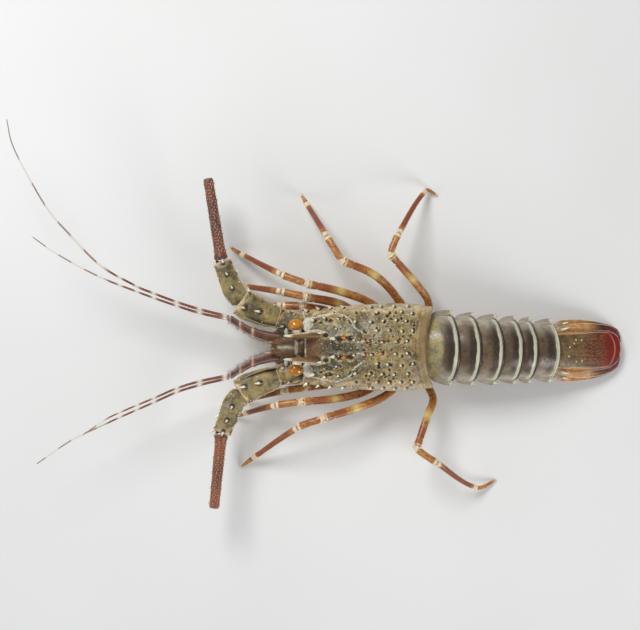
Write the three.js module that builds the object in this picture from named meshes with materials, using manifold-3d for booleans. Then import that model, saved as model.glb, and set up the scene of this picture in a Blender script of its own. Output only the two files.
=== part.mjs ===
// Spiny lobster, life size, standing still on its walking legs. Millimetres, +Z up.
// The head points along -X and the animal's right side along +Y. While the pieces are made, x = 0 is the back
// edge of the carapace and z = 0 the floor. The last lines set the group over the middle of its own box.
import * as THREE from "three";
import { mergeVertices } from "three/addons/utils/BufferGeometryUtils.js";
import Module from "manifold-3d";

const wasm = await Module();
wasm.setup();

// Driving dimensions
const gap = 0.3; // left between pieces that touch
const carapaceFront = -71.5; // front edge between the horns, which makes the carapace 72 long
const carapaceBack = -0.7; // back edge on the midline
const carapaceMiddle = 28; // height at which the carapace is widest
const carapaceUnder = 16.6; // height of its underside
const carapaceSides = 28;
const legTipHeight = 0.25; // a tip's centre, so that its underside is cut flat on the floor
const floorSlab = 20; // depth of the block that cuts those flats

const shellColour = 0x7d7350;
const tailColour = 0x6b6256;
const fanColour = 0x8c3f22;
const legColour = 0xa5602c;
const flagellumColour = 0x8a4a30;
const bellyColour = 0xb9a077;
const swimmeretColour = 0xa8452c;
const eyeColour = 0xb06a10;

const up = new THREE.Vector3(0, 0, 1);
const lobster = new THREE.Group();

// A value that follows [position, value] pairs on a smooth curve.
function smooth(keys, x) {
  const last = keys.length - 1;
  if (x <= keys[0][0]) return keys[0][1];
  if (x >= keys[last][0]) return keys[last][1];
  const i = keys.findIndex((key) => key[0] > x) - 1;
  const slope = (a, b) => (keys[b][1] - keys[a][1]) / (keys[b][0] - keys[a][0]);
  const width = keys[i + 1][0] - keys[i][0];
  const t = (x - keys[i][0]) / width;
  const leaving = slope(Math.max(i - 1, 0), i + 1) * width;
  const arriving = slope(i, Math.min(i + 2, last)) * width;
  return (
    (2 * t ** 3 - 3 * t ** 2 + 1) * keys[i][1] +
    (t ** 3 - 2 * t ** 2 + t) * leaving +
    (3 * t ** 2 - 2 * t ** 3) * keys[i + 1][1] +
    (t ** 3 - t ** 2) * arriving
  );
}

// A repeatable random number from 0 to 1.
let seed = 7;
function random() {
  seed = (seed * 16807) % 2147483647;
  return seed / 2147483647;
}

// A superellipse's point at an angle: power 2 is an ellipse, and more is squarer.
function superellipse(angle, power) {
  const bend = (v) => Math.sign(v) * Math.abs(v) ** (2 / power);
  return [bend(Math.cos(angle)), bend(Math.sin(angle))];
}

// Solids

// A closed three.js geometry as a solid, turned outwards if its faces point in.
function toSolid(geometry) {
  const bare = geometry.clone();
  bare.deleteAttribute("normal");
  bare.deleteAttribute("uv");
  const merged = mergeVertices(bare, 1e-4);
  const vertProperties = new Float32Array(merged.attributes.position.array);
  const triVerts = new Uint32Array(merged.index.array);
  const make = () => new wasm.Manifold(new wasm.Mesh({ numProp: 3, vertProperties, triVerts }));
  const solid = make();
  if (solid.volume() > 0) return solid;
  for (let i = 0; i < triVerts.length; i += 3) {
    [triVerts[i + 1], triVerts[i + 2]] = [triVerts[i + 2], triVerts[i + 1]];
  }
  return make();
}

// A capped cylinder whose rings are moved to their places. place gets the ring's number, the angle round it,
// and how far out the point is: 1 on the ring and 0 at the middle of a cap.
function loft(sides, steps, place) {
  const geometry = new THREE.CylinderGeometry(1, 1, 1, sides, steps);
  const position = geometry.attributes.position;
  for (let i = 0; i < position.count; i++) {
    const ring = Math.round((position.getY(i) + 0.5) * steps);
    const out = Math.round(Math.hypot(position.getX(i), position.getZ(i)));
    const turn = Math.atan2(position.getZ(i), position.getX(i));
    const step = (Math.round((turn / (2 * Math.PI)) * sides) + sides) % sides;
    position.setXYZ(i, ...place(ring, (step / sides) * 2 * Math.PI, out).toArray());
  }
  return toSolid(geometry);
}

// A closed tube through stations, each [x, y, z, half width, half height]. grow makes it larger all over.
function tube(stations, { sides = 8, grow = 0, power = 2 } = {}) {
  const centres = stations.map(([x, y, z]) => new THREE.Vector3(x, y, z));
  const last = centres.length - 1;
  const step = (i) => centres[i + 1].clone().sub(centres[i]).normalize();
  const frames = centres.map((centre, i) => {
    const ahead = step(Math.min(i, last - 1)).add(step(Math.max(i - 1, 0))).normalize();
    const side = new THREE.Vector3().crossVectors(ahead, up).normalize();
    return { ahead, side, top: new THREE.Vector3().crossVectors(side, ahead) };
  });
  return loft(sides, last, (i, angle, out) => {
    const [across, over] = superellipse(angle, power);
    const [, , , wide, high = wide] = stations[i];
    const past = (i === last ? grow : 0) - (i === 0 ? grow : 0);
    return centres[i]
      .clone()
      .addScaledVector(frames[i].side, out * across * (wide + grow))
      .addScaledVector(frames[i].top, out * over * (high + grow))
      .addScaledVector(frames[i].ahead, past);
  });
}

// Stations on a smooth curve through points. The profile is [share of the length, half width, half height].
function stationsAlong(points, profile) {
  const curve = new THREE.CatmullRomCurve3(points.map((p) => new THREE.Vector3(...p)), false, "centripetal");
  return profile.map(([share, ...size]) => [...curve.getPointAt(share).toArray(), ...size]);
}

// A spine: a cone along a direction, with a third of its length more sunk under its root.
function spine(root, direction, length, radius, sides = 5) {
  const whole = length * 1.33;
  const cone = new THREE.ConeGeometry(radius, whole, sides);
  const ahead = direction.clone().normalize();
  cone.applyQuaternion(new THREE.Quaternion().setFromUnitVectors(new THREE.Vector3(0, 1, 0), ahead));
  const centre = root.clone().addScaledVector(ahead, length - whole / 2);
  cone.translate(centre.x, centre.y, centre.z);
  return toSolid(cone);
}

function ellipsoid([x, y, z], [rx, ry, rz], around = 14, down = 9) {
  return toSolid(new THREE.SphereGeometry(1, around, down).scale(rx, ry, rz).translate(x, y, z));
}

function join(pieces) {
  return wasm.Manifold.union(pieces);
}

function largest(solid) {
  return solid.decompose().sort((a, b) => b.volume() - a.volume())[0];
}

const floor = toSolid(new THREE.BoxGeometry(900, 900, floorSlab).translate(0, 0, -floorSlab / 2));

// Adds a node to the group: the solid less its neighbours and the floor.
function addNode(name, solid, colour, roughness, neighbours = []) {
  const cut = neighbours.reduce((left, neighbour) => left.subtract(neighbour), solid.subtract(floor));
  const kept = largest(cut).getMesh();
  const position = new THREE.BufferAttribute(new Float32Array(kept.vertProperties), 3);
  for (let i = 0; i < position.count; i++) {
    position.setY(i, position.getY(i) - smooth(tailLean, position.getX(i)));
  }
  const geometry = new THREE.BufferGeometry();
  geometry.setAttribute("position", position);
  geometry.setIndex(new THREE.BufferAttribute(new Uint32Array(kept.triVerts), 1));
  const material = new THREE.MeshStandardMaterial({ color: colour, roughness, metalness: 0 });
  const mesh = new THREE.Mesh(geometry, material);
  mesh.name = name;
  lobster.add(mesh);
}

// Carapace

const carapaceWidth = [[-73, 21.5], [-62, 23.2], [-45, 24.8], [-25, 26], [-8, 25.8], [5, 24.2]];
const carapaceTop = [
  [-73, 40.5], [-62, 44.6], [-50, 47], [-38, 48.2], [-28, 49.8], [-14, 49.6], [-4, 47.5], [5, 44],
];
// How far forward the cervical groove runs, by the degrees down from the top of the back.
const grooveLine = [[0, -37.5], [20, -38.2], [36, -44], [56, -54], [90, -62], [180, -66]];
const grooveDepth = 1.1;
const eyeNotch = 4.6;

function carapacePoint(x, angle, grow = 0) {
  const roof = Math.sin(angle) >= 0;
  const [across, over] = superellipse(angle, roof ? 2.3 : 3.4);
  const high = roof ? smooth(carapaceTop, x) - carapaceMiddle : carapaceMiddle - carapaceUnder;
  return new THREE.Vector3(
    x,
    (smooth(carapaceWidth, x) + grow) * across,
    carapaceMiddle + (high + grow) * over,
  );
}

function carapaceFrontEdge(angle) {
  const fromTop = Math.abs(90 - THREE.MathUtils.radToDeg(angle));
  const notch = angle < Math.PI ? eyeNotch * Math.exp(-(((fromTop - 35) / 12) ** 2)) : 0;
  return carapaceFront - 1.5 * Math.cos(angle) ** 2 + notch;
}

function carapaceBackEdge(angle) {
  return Math.sin(angle) >= 0
    ? carapaceBack + 5.2 * Math.cos(angle) ** 2
    : carapaceBack + 5.2 - 7 * Math.sin(angle) ** 2;
}

function carapaceBody(grow = 0) {
  const steps = 16;
  const half = steps / 2;
  return loft(carapaceSides, steps, (i, angle, out) => {
    const fromTop = Math.min(Math.abs(90 - THREE.MathUtils.radToDeg(angle)), 180);
    const groove = smooth(grooveLine, fromTop);
    const x =
      i <= half
        ? THREE.MathUtils.lerp(carapaceBackEdge(angle), groove, i / half)
        : THREE.MathUtils.lerp(groove, carapaceFrontEdge(angle), (i - half) / half);
    const point = carapacePoint(x, angle, grow - (i === half ? grooveDepth : 0));
    const centre = i === 0 ? carapaceBack : i === steps ? carapaceFront : x;
    const axis = new THREE.Vector3(centre, 0, carapaceMiddle);
    const end = (i === steps ? -grow : 0) + (i === 0 ? grow : 0);
    return axis.lerp(point, out).add(new THREE.Vector3(end, 0, 0));
  });
}

// The carapace's surface at x and y on the back or flank, and the way that it faces there.
function onCarapace(x, y) {
  const share = Math.min(Math.abs(y) / smooth(carapaceWidth, x), 0.995);
  const angle = Math.acos(share ** (2.3 / 2));
  const side = y < 0 ? Math.PI - angle : angle;
  const point = carapacePoint(x, side);
  const along = carapacePoint(x + 0.5, side).sub(point);
  const around = carapacePoint(x, side + 0.02).sub(point);
  return { point, normal: new THREE.Vector3().crossVectors(around, along).normalize() };
}

function carapaceSpine(x, y, length, radius, sides = 5) {
  const { point, normal } = onCarapace(x, y);
  const lean = new THREE.Vector3(-0.85, 0, 0).add(normal);
  return spine(point, lean, length, radius, sides);
}

// Pairs of spines on the head, as [x, y, length, radius], each also on the other side.
const headSpines = [
  [-63.4, 8.4, 3.6, 1.3], [-54, 5.3, 4.2, 1.5], [-47.8, 5.7, 3.6, 1.4], [-42.4, 4.4, 2, 1],
  [-36.6, 3.9, 3, 1.3], [-66, 15.6, 4.6, 1.5], [-59.5, 17.2, 2.6, 1.2], [-51.5, 16.6, 2, 1],
  [-70, 21, 3.6, 1.4], [-63, 22.2, 3, 1.2], [-56, 22.9, 2.8, 1.2], [-48.5, 23.3, 2.6, 1.1],
];
// Rows behind the groove: each row's share of the half width, and how long its spines are at the front.
const backRows = [[0.14, 2.5], [0.38, 2.3], [0.6, 2.3], [0.78, 2.2], [0.93, 2.3]];
const backRowStart = -33;
const backRowEnd = -6;
const backRowStep = 7.2;
const spineShrink = 0.45; // share of its length that a spine has lost at the end of its row

function supraorbitalHorn(side) {
  const stations = [
    [-58, 7.6, 43, 3, 2.2], [-65, 7.4, 45.2, 2.7, 2.6], [-71, 7.2, 47.2, 2.1, 2.4],
    [-77, 7, 48.6, 1.4, 1.7], [-81.5, 6.9, 49, 0.8, 0.9], [-84.3, 6.9, 48.9, 0.25],
  ];
  return tube(stations.map(([x, y, ...rest]) => [x, side * y, ...rest]), { sides: 8 });
}

function carapaceSpines() {
  const spines = [];
  for (const side of [1, -1]) {
    for (const [x, y, length, radius] of headSpines) spines.push(carapaceSpine(x, side * y, length, radius));
    backRows.forEach(([share, length], row) => {
      for (let x = backRowStart + (row % 2) * 3.2; x < backRowEnd; x += backRowStep) {
        const place = x + (random() - 0.5) * 2;
        const y = side * (share + (random() - 0.5) * 0.05) * smooth(carapaceWidth, place);
        const past = (place - backRowStart) / (backRowEnd - backRowStart);
        spines.push(carapaceSpine(place, y, length * (1 - spineShrink * past), 1.1, 4));
      }
    });
    spines.push(supraorbitalHorn(side));
  }
  return spines;
}

// Abdomen

const tailWidth = [[-6, 17.2], [6, 18.6], [20, 19.4], [33, 19], [47, 18.2], [59, 17.6], [68, 17], [81, 15.8]];
const tailTop = [[-6, 40], [8, 42.6], [20, 43.2], [33, 42.4], [47, 40.2], [59, 37], [68, 34], [81, 28.6]];
const tailUnder = [[-6, 20], [20, 18], [47, 15.5], [68, 12.6], [81, 10.8]];
// How far the tail leans to the animal's left, which moves all that lies behind the carapace.
const tailLean = [[8, 0], [20, 1], [47, 1.8], [81, 2.4], [104, 2.2], [122, 1.2]];
const somiteBacks = [20.3, 33.3, 46.9, 58.8, 67.9, 80.9]; // back edge of each ring of the tail
const firstSomiteFront = -6;
const tuck = 4.5; // length of a ring that lies inside the one ahead
const tuckedSize = 0.9;
const rimSize = 0.955;
const ringBow = 3; // how far forward a ring's edge runs from the back to the flank
const tailSides = 18;

function somiteSpan(i) {
  const back = somiteBacks[i];
  const front = i ? somiteBacks[i - 1] - tuck : firstSomiteFront;
  return { front, edge: i ? somiteBacks[i - 1] : 4.5, back };
}

function somiteBody(i, grow = 0) {
  const { front, edge, back } = somiteSpan(i);
  const visible = back - edge;
  const rings = [
    [front, tuckedSize], [edge, rimSize],
    [edge + visible * 0.3, 0.99], [edge + visible * 0.75, 1], [back, 0.99],
  ];
  return loft(tailSides, rings.length - 1, (ring, angle, out) => {
    const [x, size] = rings[ring];
    const low = smooth(tailUnder, x);
    const middle = low + 6;
    const roof = Math.sin(angle) >= 0;
    const [across, over] = superellipse(angle, roof ? 2.2 : 4);
    const high = roof ? (smooth(tailTop, x) - middle) * size : (middle - low) * size;
    const end = (ring === rings.length - 1 ? grow : 0) - (ring === 0 ? grow : 0);
    return new THREE.Vector3(
      x + end - ringBow * (out * across) ** 2,
      out * across * (smooth(tailWidth, x) * size + grow),
      middle + out * over * (high + grow),
    );
  });
}

// The flap at a ring's flank, which ends in a tooth that points back, with a smaller tooth behind it.
function pleuron(i, side, grow = 0) {
  const { edge, back } = somiteSpan(i);
  const start = THREE.MathUtils.lerp(edge, back, 0.5) - ringBow;
  const wide = smooth(tailWidth, start);
  const low = smooth(tailUnder, start);
  const broad = (back - edge) * 0.36;
  const reach = i === 0 ? 0.45 : 1;
  const flare = i === 0 ? 1.6 : 0;
  const lobe = tube(
    [
      [start - 1, side * (wide - 3), low + 9, 1.6, broad],
      [start, side * (wide - 1.1), low + 3, 1.3, broad],
      [start + 1, side * (wide + flare), low - 1.2 * reach, 1, broad * 0.8],
      [start + 2.6, side * (wide + 0.8 + flare), low - 3.6 * reach, 0.8, broad * 0.42],
      [start + 4.8, side * (wide + 1.7 + flare), low - 5 * reach, 0.3, 0.3],
    ],
    { sides: 6, grow },
  );
  const root = new THREE.Vector3(start + 2.6, side * (wide + 0.2), low + 1.4);
  return join([lobe, spine(root, new THREE.Vector3(1, side * 0.35, -0.35), 3.6 + grow, 0.9 + grow)]);
}

// Plates of the tail fan

// A thin plate through stations, each [x, y, z, half width, half thickness, arch], ridged from ridgeStart on.
function plate(stations, { side = 1, drop = () => 0, ridges = 0, ridgeHeight = 0.22, grow = 0 } = {}) {
  const sides = 22;
  const last = stations.length - 1;
  return loft(sides, last, (i, angle, out) => {
    const [x, y, z, wide, thick, arch] = stations[i];
    const [across, over] = superellipse(angle, 3);
    const share = out * across;
    const ridge = ridges && i > 3 && i < last && Math.abs(share) < 0.9 ? ridgeHeight : 0;
    const comb = ridge * Math.cos(share * ridges * Math.PI) * Math.sign(over);
    const end = (i === last ? grow : 0) - (i === 0 ? grow : 0);
    return new THREE.Vector3(
      x + end,
      side * y + side * share * (wide + grow),
      z - drop(x) - arch * share ** 2 + out * (over * (thick + grow) + comb),
    );
  });
}

const telsonStations = [
  [77, 0, 22.6, 9.4, 2.6, 1.6], [82, 0, 22.2, 10.6, 2.5, 1.6], [89, 0, 19.6, 11.2, 2, 1.6],
  [97, 0, 16.2, 11.6, 1.3, 1.4], [104, 0, 13, 12, 0.8, 1.2], [111, 0, 9.9, 11.6, 0.7, 0.9],
  [116, 0, 7.9, 9.8, 0.65, 0.6], [119.2, 0, 6.8, 6.6, 0.6, 0.3], [120.7, 0, 6.4, 2, 0.5, 0],
];
const endopodStations = [
  [78.8, 11.2, 18.2, 1.8, 1.6, 0], [83, 11.9, 17.2, 2.9, 1.5, 0.2], [90, 11.1, 14.6, 5, 1.1, 0.5],
  [98, 10.1, 11.4, 6.4, 0.8, 0.6], [106, 9, 8.5, 7, 0.7, 0.5], [113, 8.1, 6, 6.4, 0.65, 0.3],
  [118, 7.4, 4.6, 4.2, 0.6, 0.1], [120.4, 7, 4.2, 1.2, 0.5, 0],
];
const exopodStations = [
  [78.6, 14.2, 14.6, 2.4, 2.4, 0], [83, 14.9, 13.8, 3.5, 2.2, 0.2], [89, 12.8, 11.6, 6.2, 1.2, 0.8],
  [96.5, 9.9, 8.6, 8.9, 0.8, 1], [104, 7.9, 6, 9.9, 0.7, 0.8], [111, 6.4, 4, 9.6, 0.65, 0.5],
  [116.5, 5.6, 2.9, 8, 0.6, 0.2], [120, 5.4, 2.4, 5.4, 0.55, 0], [121.8, 5.2, 2.3, 1.5, 0.5, 0],
];
const lowerFanDrop = 1.9; // how much lower the left outer plate lies, to pass under the right one

function lowerFan(x) {
  return lowerFanDrop * THREE.MathUtils.smoothstep(x, 85, 97);
}

function telson(grow = 0) {
  const body = plate(telsonStations, { ridges: 6, grow });
  const knobs = [[92, 6.4], [92, -6.4], [88, 3], [88, -3]].map(([x, y]) =>
    spine(new THREE.Vector3(x, y, 20.6), new THREE.Vector3(0.9, 0, 0.7), 1.6, 0.8),
  );
  return grow ? body : join([body, ...knobs]);
}

function uropod(stations, side, drop, grow = 0) {
  const body = plate(stations, { side, drop, ridges: 5, grow });
  if (grow) return body;
  const [x, y, z, wide] = stations[1];
  const root = new THREE.Vector3(x + 0.6, side * (y + wide * 0.3), z + 0.6);
  return join([body, spine(root, new THREE.Vector3(1, side * 0.3, 0.1), 4.4, 1.3)]);
}

// Swimmerets: a bar across the belly of a ring, with a leaf-shaped paddle at each end that turns inward,
// by degrees, and hangs a little lower towards its tip, which clears the next pair.
const swimmerets = [
  { ring: 2, reach: 13.4, length: 15.4, width: 11.6, inward: 20 },
  { ring: 3, reach: 14, length: 18.6, width: 10.6, inward: 34 },
  { ring: 4, reach: 13.6, length: 17.4, width: 8.8, inward: 43 },
  { ring: 5, reach: 13, length: 15.6, width: 7.8, inward: 40 },
];
const paddle = { thick: 0.5, hang: 0.11, below: 0.4 };

function swimmeretPair({ ring, reach, length, width, inward }) {
  const { edge } = somiteSpan(ring - 1);
  const x = edge + 1.2;
  const z = smooth(tailUnder, x) - 1;
  const fall = (smooth(tailUnder, x + length) - smooth(tailUnder, x)) / length - paddle.hang;
  const end = reach + 0.4;
  const bar = tube([[x, -end, z, 1, 0.9], [x, 0, z, 1, 0.9], [x, end, z, 1, 0.9]], { sides: 6 });
  const turn = THREE.MathUtils.degToRad(inward);
  const paddles = [1, -1].map((side) => {
    const leaf = [0, 0.12, 0.32, 0.55, 0.8, 1].map((share) => {
      const half = Math.max(0.6, Math.sin(Math.PI * (0.1 + 0.87 * share ** 0.85)) ** 0.85 * (width / 2));
      const ahead = share * length * Math.cos(turn);
      const y = side * (reach - share * length * Math.sin(turn));
      return [x - 0.6 + ahead, y, z - paddle.below + fall * ahead, half, paddle.thick];
    });
    return tube(leaf, { sides: 6, power: 2.4 });
  });
  return join([bar, ...paddles]);
}

// Underside

function sternum(grow = 0) {
  const stations = [
    [-44.5, 0, 13, 1.4, 2.2], [-40, 0, 12.9, 4, 3.2], [-30, 0, 12.9, 6.2, 3.4], [-20, 0, 12.9, 8.2, 3.4],
    [-10, 0, 12.9, 10, 3.4], [0, 0, 12.9, 10.8, 3.4], [3, 0, 12.9, 9, 3],
  ];
  return tube(stations, { sides: 16, grow, power: 3.2 });
}

function epistome() {
  const stations = [
    [-92.6, 0, 17, 7, 1.6], [-88, 0, 16.4, 10.8, 2.6], [-81, 0, 15.2, 14.6, 3.2], [-74.5, 0, 14, 16.6, 3.2],
    [-69.5, 0, 13.4, 13, 2.8], [-64, 0, 13.4, 7.5, 2.6],
  ];
  const labrum = ellipsoid([-67.5, 0, 11.4], [4.6, 5, 3], 12, 7);
  return join([tube(stations, { sides: 16, power: 2.6 }), labrum]);
}

function maxilliped(side) {
  const stations = stationsAlong(
    [
      [-46, 2.9, 9.6], [-57, 8.4, 7.6], [-72.6, 14.2, 6.6], [-75.2, 13.6, 6.8],
      [-82, 10.9, 9], [-90, 7.8, 11.8],
    ],
    [
      [0, 1.6], [0.08, 2.3], [0.3, 2.6], [0.5, 2.3], [0.58, 2.2], [0.66, 1.8],
      [0.8, 1.6], [0.93, 1.3], [1, 0.5],
    ],
  );
  return tube(stations.map(([x, y, ...rest]) => [x, side * y, ...rest]), { sides: 8 });
}

// Head

function antennularPlate() {
  const block = tube(
    [[-72.4, 0, 27, 5.6, 5.6], [-79, 0, 27.4, 5.2, 5.2], [-84.6, 0, 28, 3.6, 4.6]],
    { sides: 12, power: 4 },
  );
  const shield = tube(
    [[-73, 0, 33.6, 5.2, 1.6], [-79, 0, 34.6, 6, 1.6], [-86, 0, 35, 5.6, 1.4], [-91.4, 0, 35.6, 4.2, 0.9]],
    { sides: 12, power: 3 },
  );
  const neck = tube([[-76, 0, 30, 4, 4], [-77.6, 0, 34, 4, 4]], { sides: 8, power: 4 });
  const bridge = ellipsoid([-74.9, 0, 36.4], [2.2, 3.6, 1.8], 8, 5);
  const spines = [1, -1].map((side) =>
    spine(new THREE.Vector3(-88, side * 2.9, 35.8), new THREE.Vector3(-1, side * 0.02, 0.36), 8, 1.5, 6),
  );
  return join([block, neck, shield, bridge, ...spines]);
}

function eye(side) {
  const stalk = tube(
    [
      [-75.2, side * 4.5, 37.2, 2, 1.8], [-75.6, side * 7.5, 37.4, 2.3, 2.2],
      [-76.3, side * 11.5, 37.6, 3.2, 3],
    ],
    { sides: 10 },
  );
  return join([stalk, ellipsoid([-76.9, side * 12.9, 37.8], [4.7, 4.1, 4.3], 14, 9)]);
}

// Each antenna's stalk in three pieces: stations at y > 0, then spines as
// [x, y, z, direction, length, radius].
const antennaPieces = {
  base: {
    stations: [
      [-72.6, 13.6, 26.2, 6, 5.2], [-78, 14.4, 26.4, 6.4, 5.8], [-84, 16, 26.9, 6.2, 5.6],
      [-88.4, 17.4, 27.2, 5.6, 5],
    ],
    spines: [
      [-80, 19.4, 29, [-0.6, 0.7, 0.5], 3.6, 1.3], [-85, 20.8, 29, [-0.7, 0.6, 0.4], 4, 1.3],
      [-84, 12.6, 31, [-0.9, -0.1, 0.5], 2.8, 1.1],
    ],
  },
  middle: {
    stations: [
      [-87.4, 17.2, 27.4, 5.4, 4.8], [-91.5, 18.8, 27.8, 6.8, 5.4], [-99, 21.4, 28.6, 7.6, 5.6],
      [-106, 24.6, 29.2, 8.2, 5.8], [-110.6, 27.6, 29.6, 7.4, 5.4],
    ],
    spines: [
      [-98.2, 21.2, 33.8, [-0.9, 0.1, 0.6], 4.4, 1.3], [-107, 23.4, 34.4, [-0.9, 0.1, 0.6], 4.4, 1.3],
      [-92, 25, 29.6, [-0.8, 0.6, 0.2], 2.6, 1], [-97.5, 27.6, 30, [-0.8, 0.6, 0.2], 2.8, 1.1],
      [-101.5, 29.8, 30.4, [-0.8, 0.6, 0.2], 3, 1.1], [-104.6, 32, 30.6, [-0.25, 0.95, 0.1], 4.4, 1.5],
      [-104, 18, 31.4, [-0.9, -0.3, 0.4], 2.6, 1],
    ],
  },
  end: {
    stations: [
      [-110.4, 28.2, 29.8, 5.8, 4.8], [-114.2, 34, 30.2, 6, 5], [-117, 41, 30.6, 5.6, 4.8],
      [-119.6, 47.6, 31, 5.2, 4.6], [-121.2, 51.6, 31.2, 5, 4.4],
    ],
    spines: [
      [-118.6, 33, 30.6, [-0.85, 0.4, 0.2], 5.4, 1.5], [-120.8, 39.6, 31, [-0.85, 0.45, 0.2], 6, 1.6],
      [-123.2, 47.6, 31.4, [-0.85, 0.55, 0.2], 7, 1.7], [-123.8, 50.6, 29, [-0.7, 0.7, -0.2], 4, 1.3],
      [-109.6, 37.6, 31, [0.5, 0.75, 0.2], 2.4, 1], [-112.4, 44.4, 31.6, [0.5, 0.75, 0.2], 2.4, 1],
      [-116, 50.6, 31.8, [0.3, 0.9, 0.2], 4, 1.3], [-114.6, 35, 34.8, [-0.3, 0.6, 0.7], 3, 1.1],
      [-117.6, 43, 35, [-0.3, 0.6, 0.7], 3, 1.1], [-120, 50, 35, [-0.2, 0.8, 0.5], 3.4, 1.1],
    ],
  },
};

function antennaPiece(name, side, grow = 0) {
  const { stations, spines } = antennaPieces[name];
  const stalk = tube(
    stations.map(([x, y, ...rest]) => [x, side * y, ...rest]),
    { sides: 14, power: 2.5, grow },
  );
  const thorns = spines.map(([x, y, z, [dx, dy, dz], length, radius]) =>
    spine(
      new THREE.Vector3(x, side * y, z), new THREE.Vector3(dx, side * dy, dz), length + grow, radius + grow,
    ),
  );
  return join([stalk, ...thorns]);
}

// The broken whip of each antenna: its two ends, then rings of small spinules that point to the tip.
const whips = {
  r: { root: [-121.3, 51.9, 31.2], tip: [-129, 100.5, 35.5] },
  l: { root: [-121.3, -51.9, 31.2], tip: [-125.4, -95.8, 35.5] },
};
const whipRadius = [4.1, 3.5, 3.2, 3, 2.9];
const spinuleRings = 4;
const spinulesInRing = 4;

function whip({ root, tip }) {
  const from = new THREE.Vector3(...root);
  const to = new THREE.Vector3(...tip);
  const shares = [0, 0.07, 0.35, 0.7, 1];
  const at = (share) => from.clone().lerp(to, share);
  const body = tube(shares.map((share, i) => [...at(share).toArray(), whipRadius[i]]), { sides: 10 });
  const ahead = to.clone().sub(from).normalize();
  const side = new THREE.Vector3().crossVectors(ahead, up).normalize();
  const top = new THREE.Vector3().crossVectors(side, ahead);
  const spinules = [];
  for (let ring = 0; ring < spinuleRings; ring++) {
    for (let i = 0; i < spinulesInRing; i++) {
      const angle = ((i + (ring % 2) * 0.5) / spinulesInRing) * 2 * Math.PI;
      const out = side.clone().multiplyScalar(Math.cos(angle)).addScaledVector(top, Math.sin(angle));
      const foot = at(0.12 + (ring / spinuleRings) * 0.82).addScaledVector(out, 2.9);
      spinules.push(spine(foot, out.multiplyScalar(0.8).add(ahead), 1.9, 0.7, 4));
    }
  }
  return join([body, ...spinules]);
}

// Antennules: a jointed stalk, and two whips that leave its end side by side.
const antennuleStalk = [
  [-86.2, 4.7, 30.4, 3.4, 2.8], [-94, 6, 30.8, 3.4, 2.8], [-100.4, 8, 31.3, 2.9, 2.5],
  [-103.4, 9.2, 31.6, 3, 2.6], [-108, 11.8, 32.1, 2.4, 2.2], [-110.6, 13.4, 32.4, 2.5, 2.3],
  [-113.6, 15.4, 32.8, 2, 1.9], [-116.6, 17.2, 33.2, 2.1, 2],
];
const antennuleWhips = {
  r: {
    outer: [
      [-116.9, 18.4, 33.3], [-134, 22.6, 34.4], [-147.5, 26.9, 35.4], [-160.8, 31.9, 36.4],
      [-171, 36.1, 37.2], [-192.4, 48.6, 39.5], [-212, 68.6, 42], [-222, 80.2, 43.2],
      [-233, 98.6, 44.4], [-243.4, 119.6, 45.4], [-246.8, 134.5, 46],
    ],
    inner: [
      [-117.2, 16.4, 33.3], [-134, 20.4, 34.2], [-147.5, 24.6, 35], [-160.8, 29.2, 35.8],
      [-171, 33, 36.4], [-187.6, 39.4, 37.6], [-202.1, 46.3, 38.8], [-219.1, 56, 40],
      [-233.1, 65.9, 41],
    ],
  },
  l: {
    outer: [
      [-116.9, -18.4, 33.3], [-134, -22.4, 34.4], [-147.5, -26.6, 35.4], [-161.4, -32.8, 36.4],
      [-181, -41.4, 38], [-191.8, -46.4, 38.8], [-208.7, -54.4, 40], [-229.7, -68.7, 41.4],
    ],
    inner: [
      [-117.2, -16.4, 33.3], [-134, -20.2, 34.2], [-147.5, -24.3, 35], [-161.4, -30.3, 35.8],
      [-177, -36.8, 37.4], [-188.5, -42.2, 40.4], [-203.8, -52.6, 43],
    ],
  },
};
const antennuleWhipRoot = 0.85;
const antennuleWhipTip = 0.3;

function antennule(side, grow = 0) {
  const stations = antennuleStalk.map(([x, y, ...rest]) => [x, side * y, ...rest]);
  return tube(stations, { sides: 10, grow, power: 2.3 });
}

function antennuleWhip(points) {
  const steps = 15;
  const profile = Array.from({ length: steps + 1 }, (_, i) => {
    const share = i / steps;
    return [share, THREE.MathUtils.lerp(antennuleWhipRoot, antennuleWhipTip, share)];
  });
  return tube(stationsAlong(points, profile), { sides: 6 });
}

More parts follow.
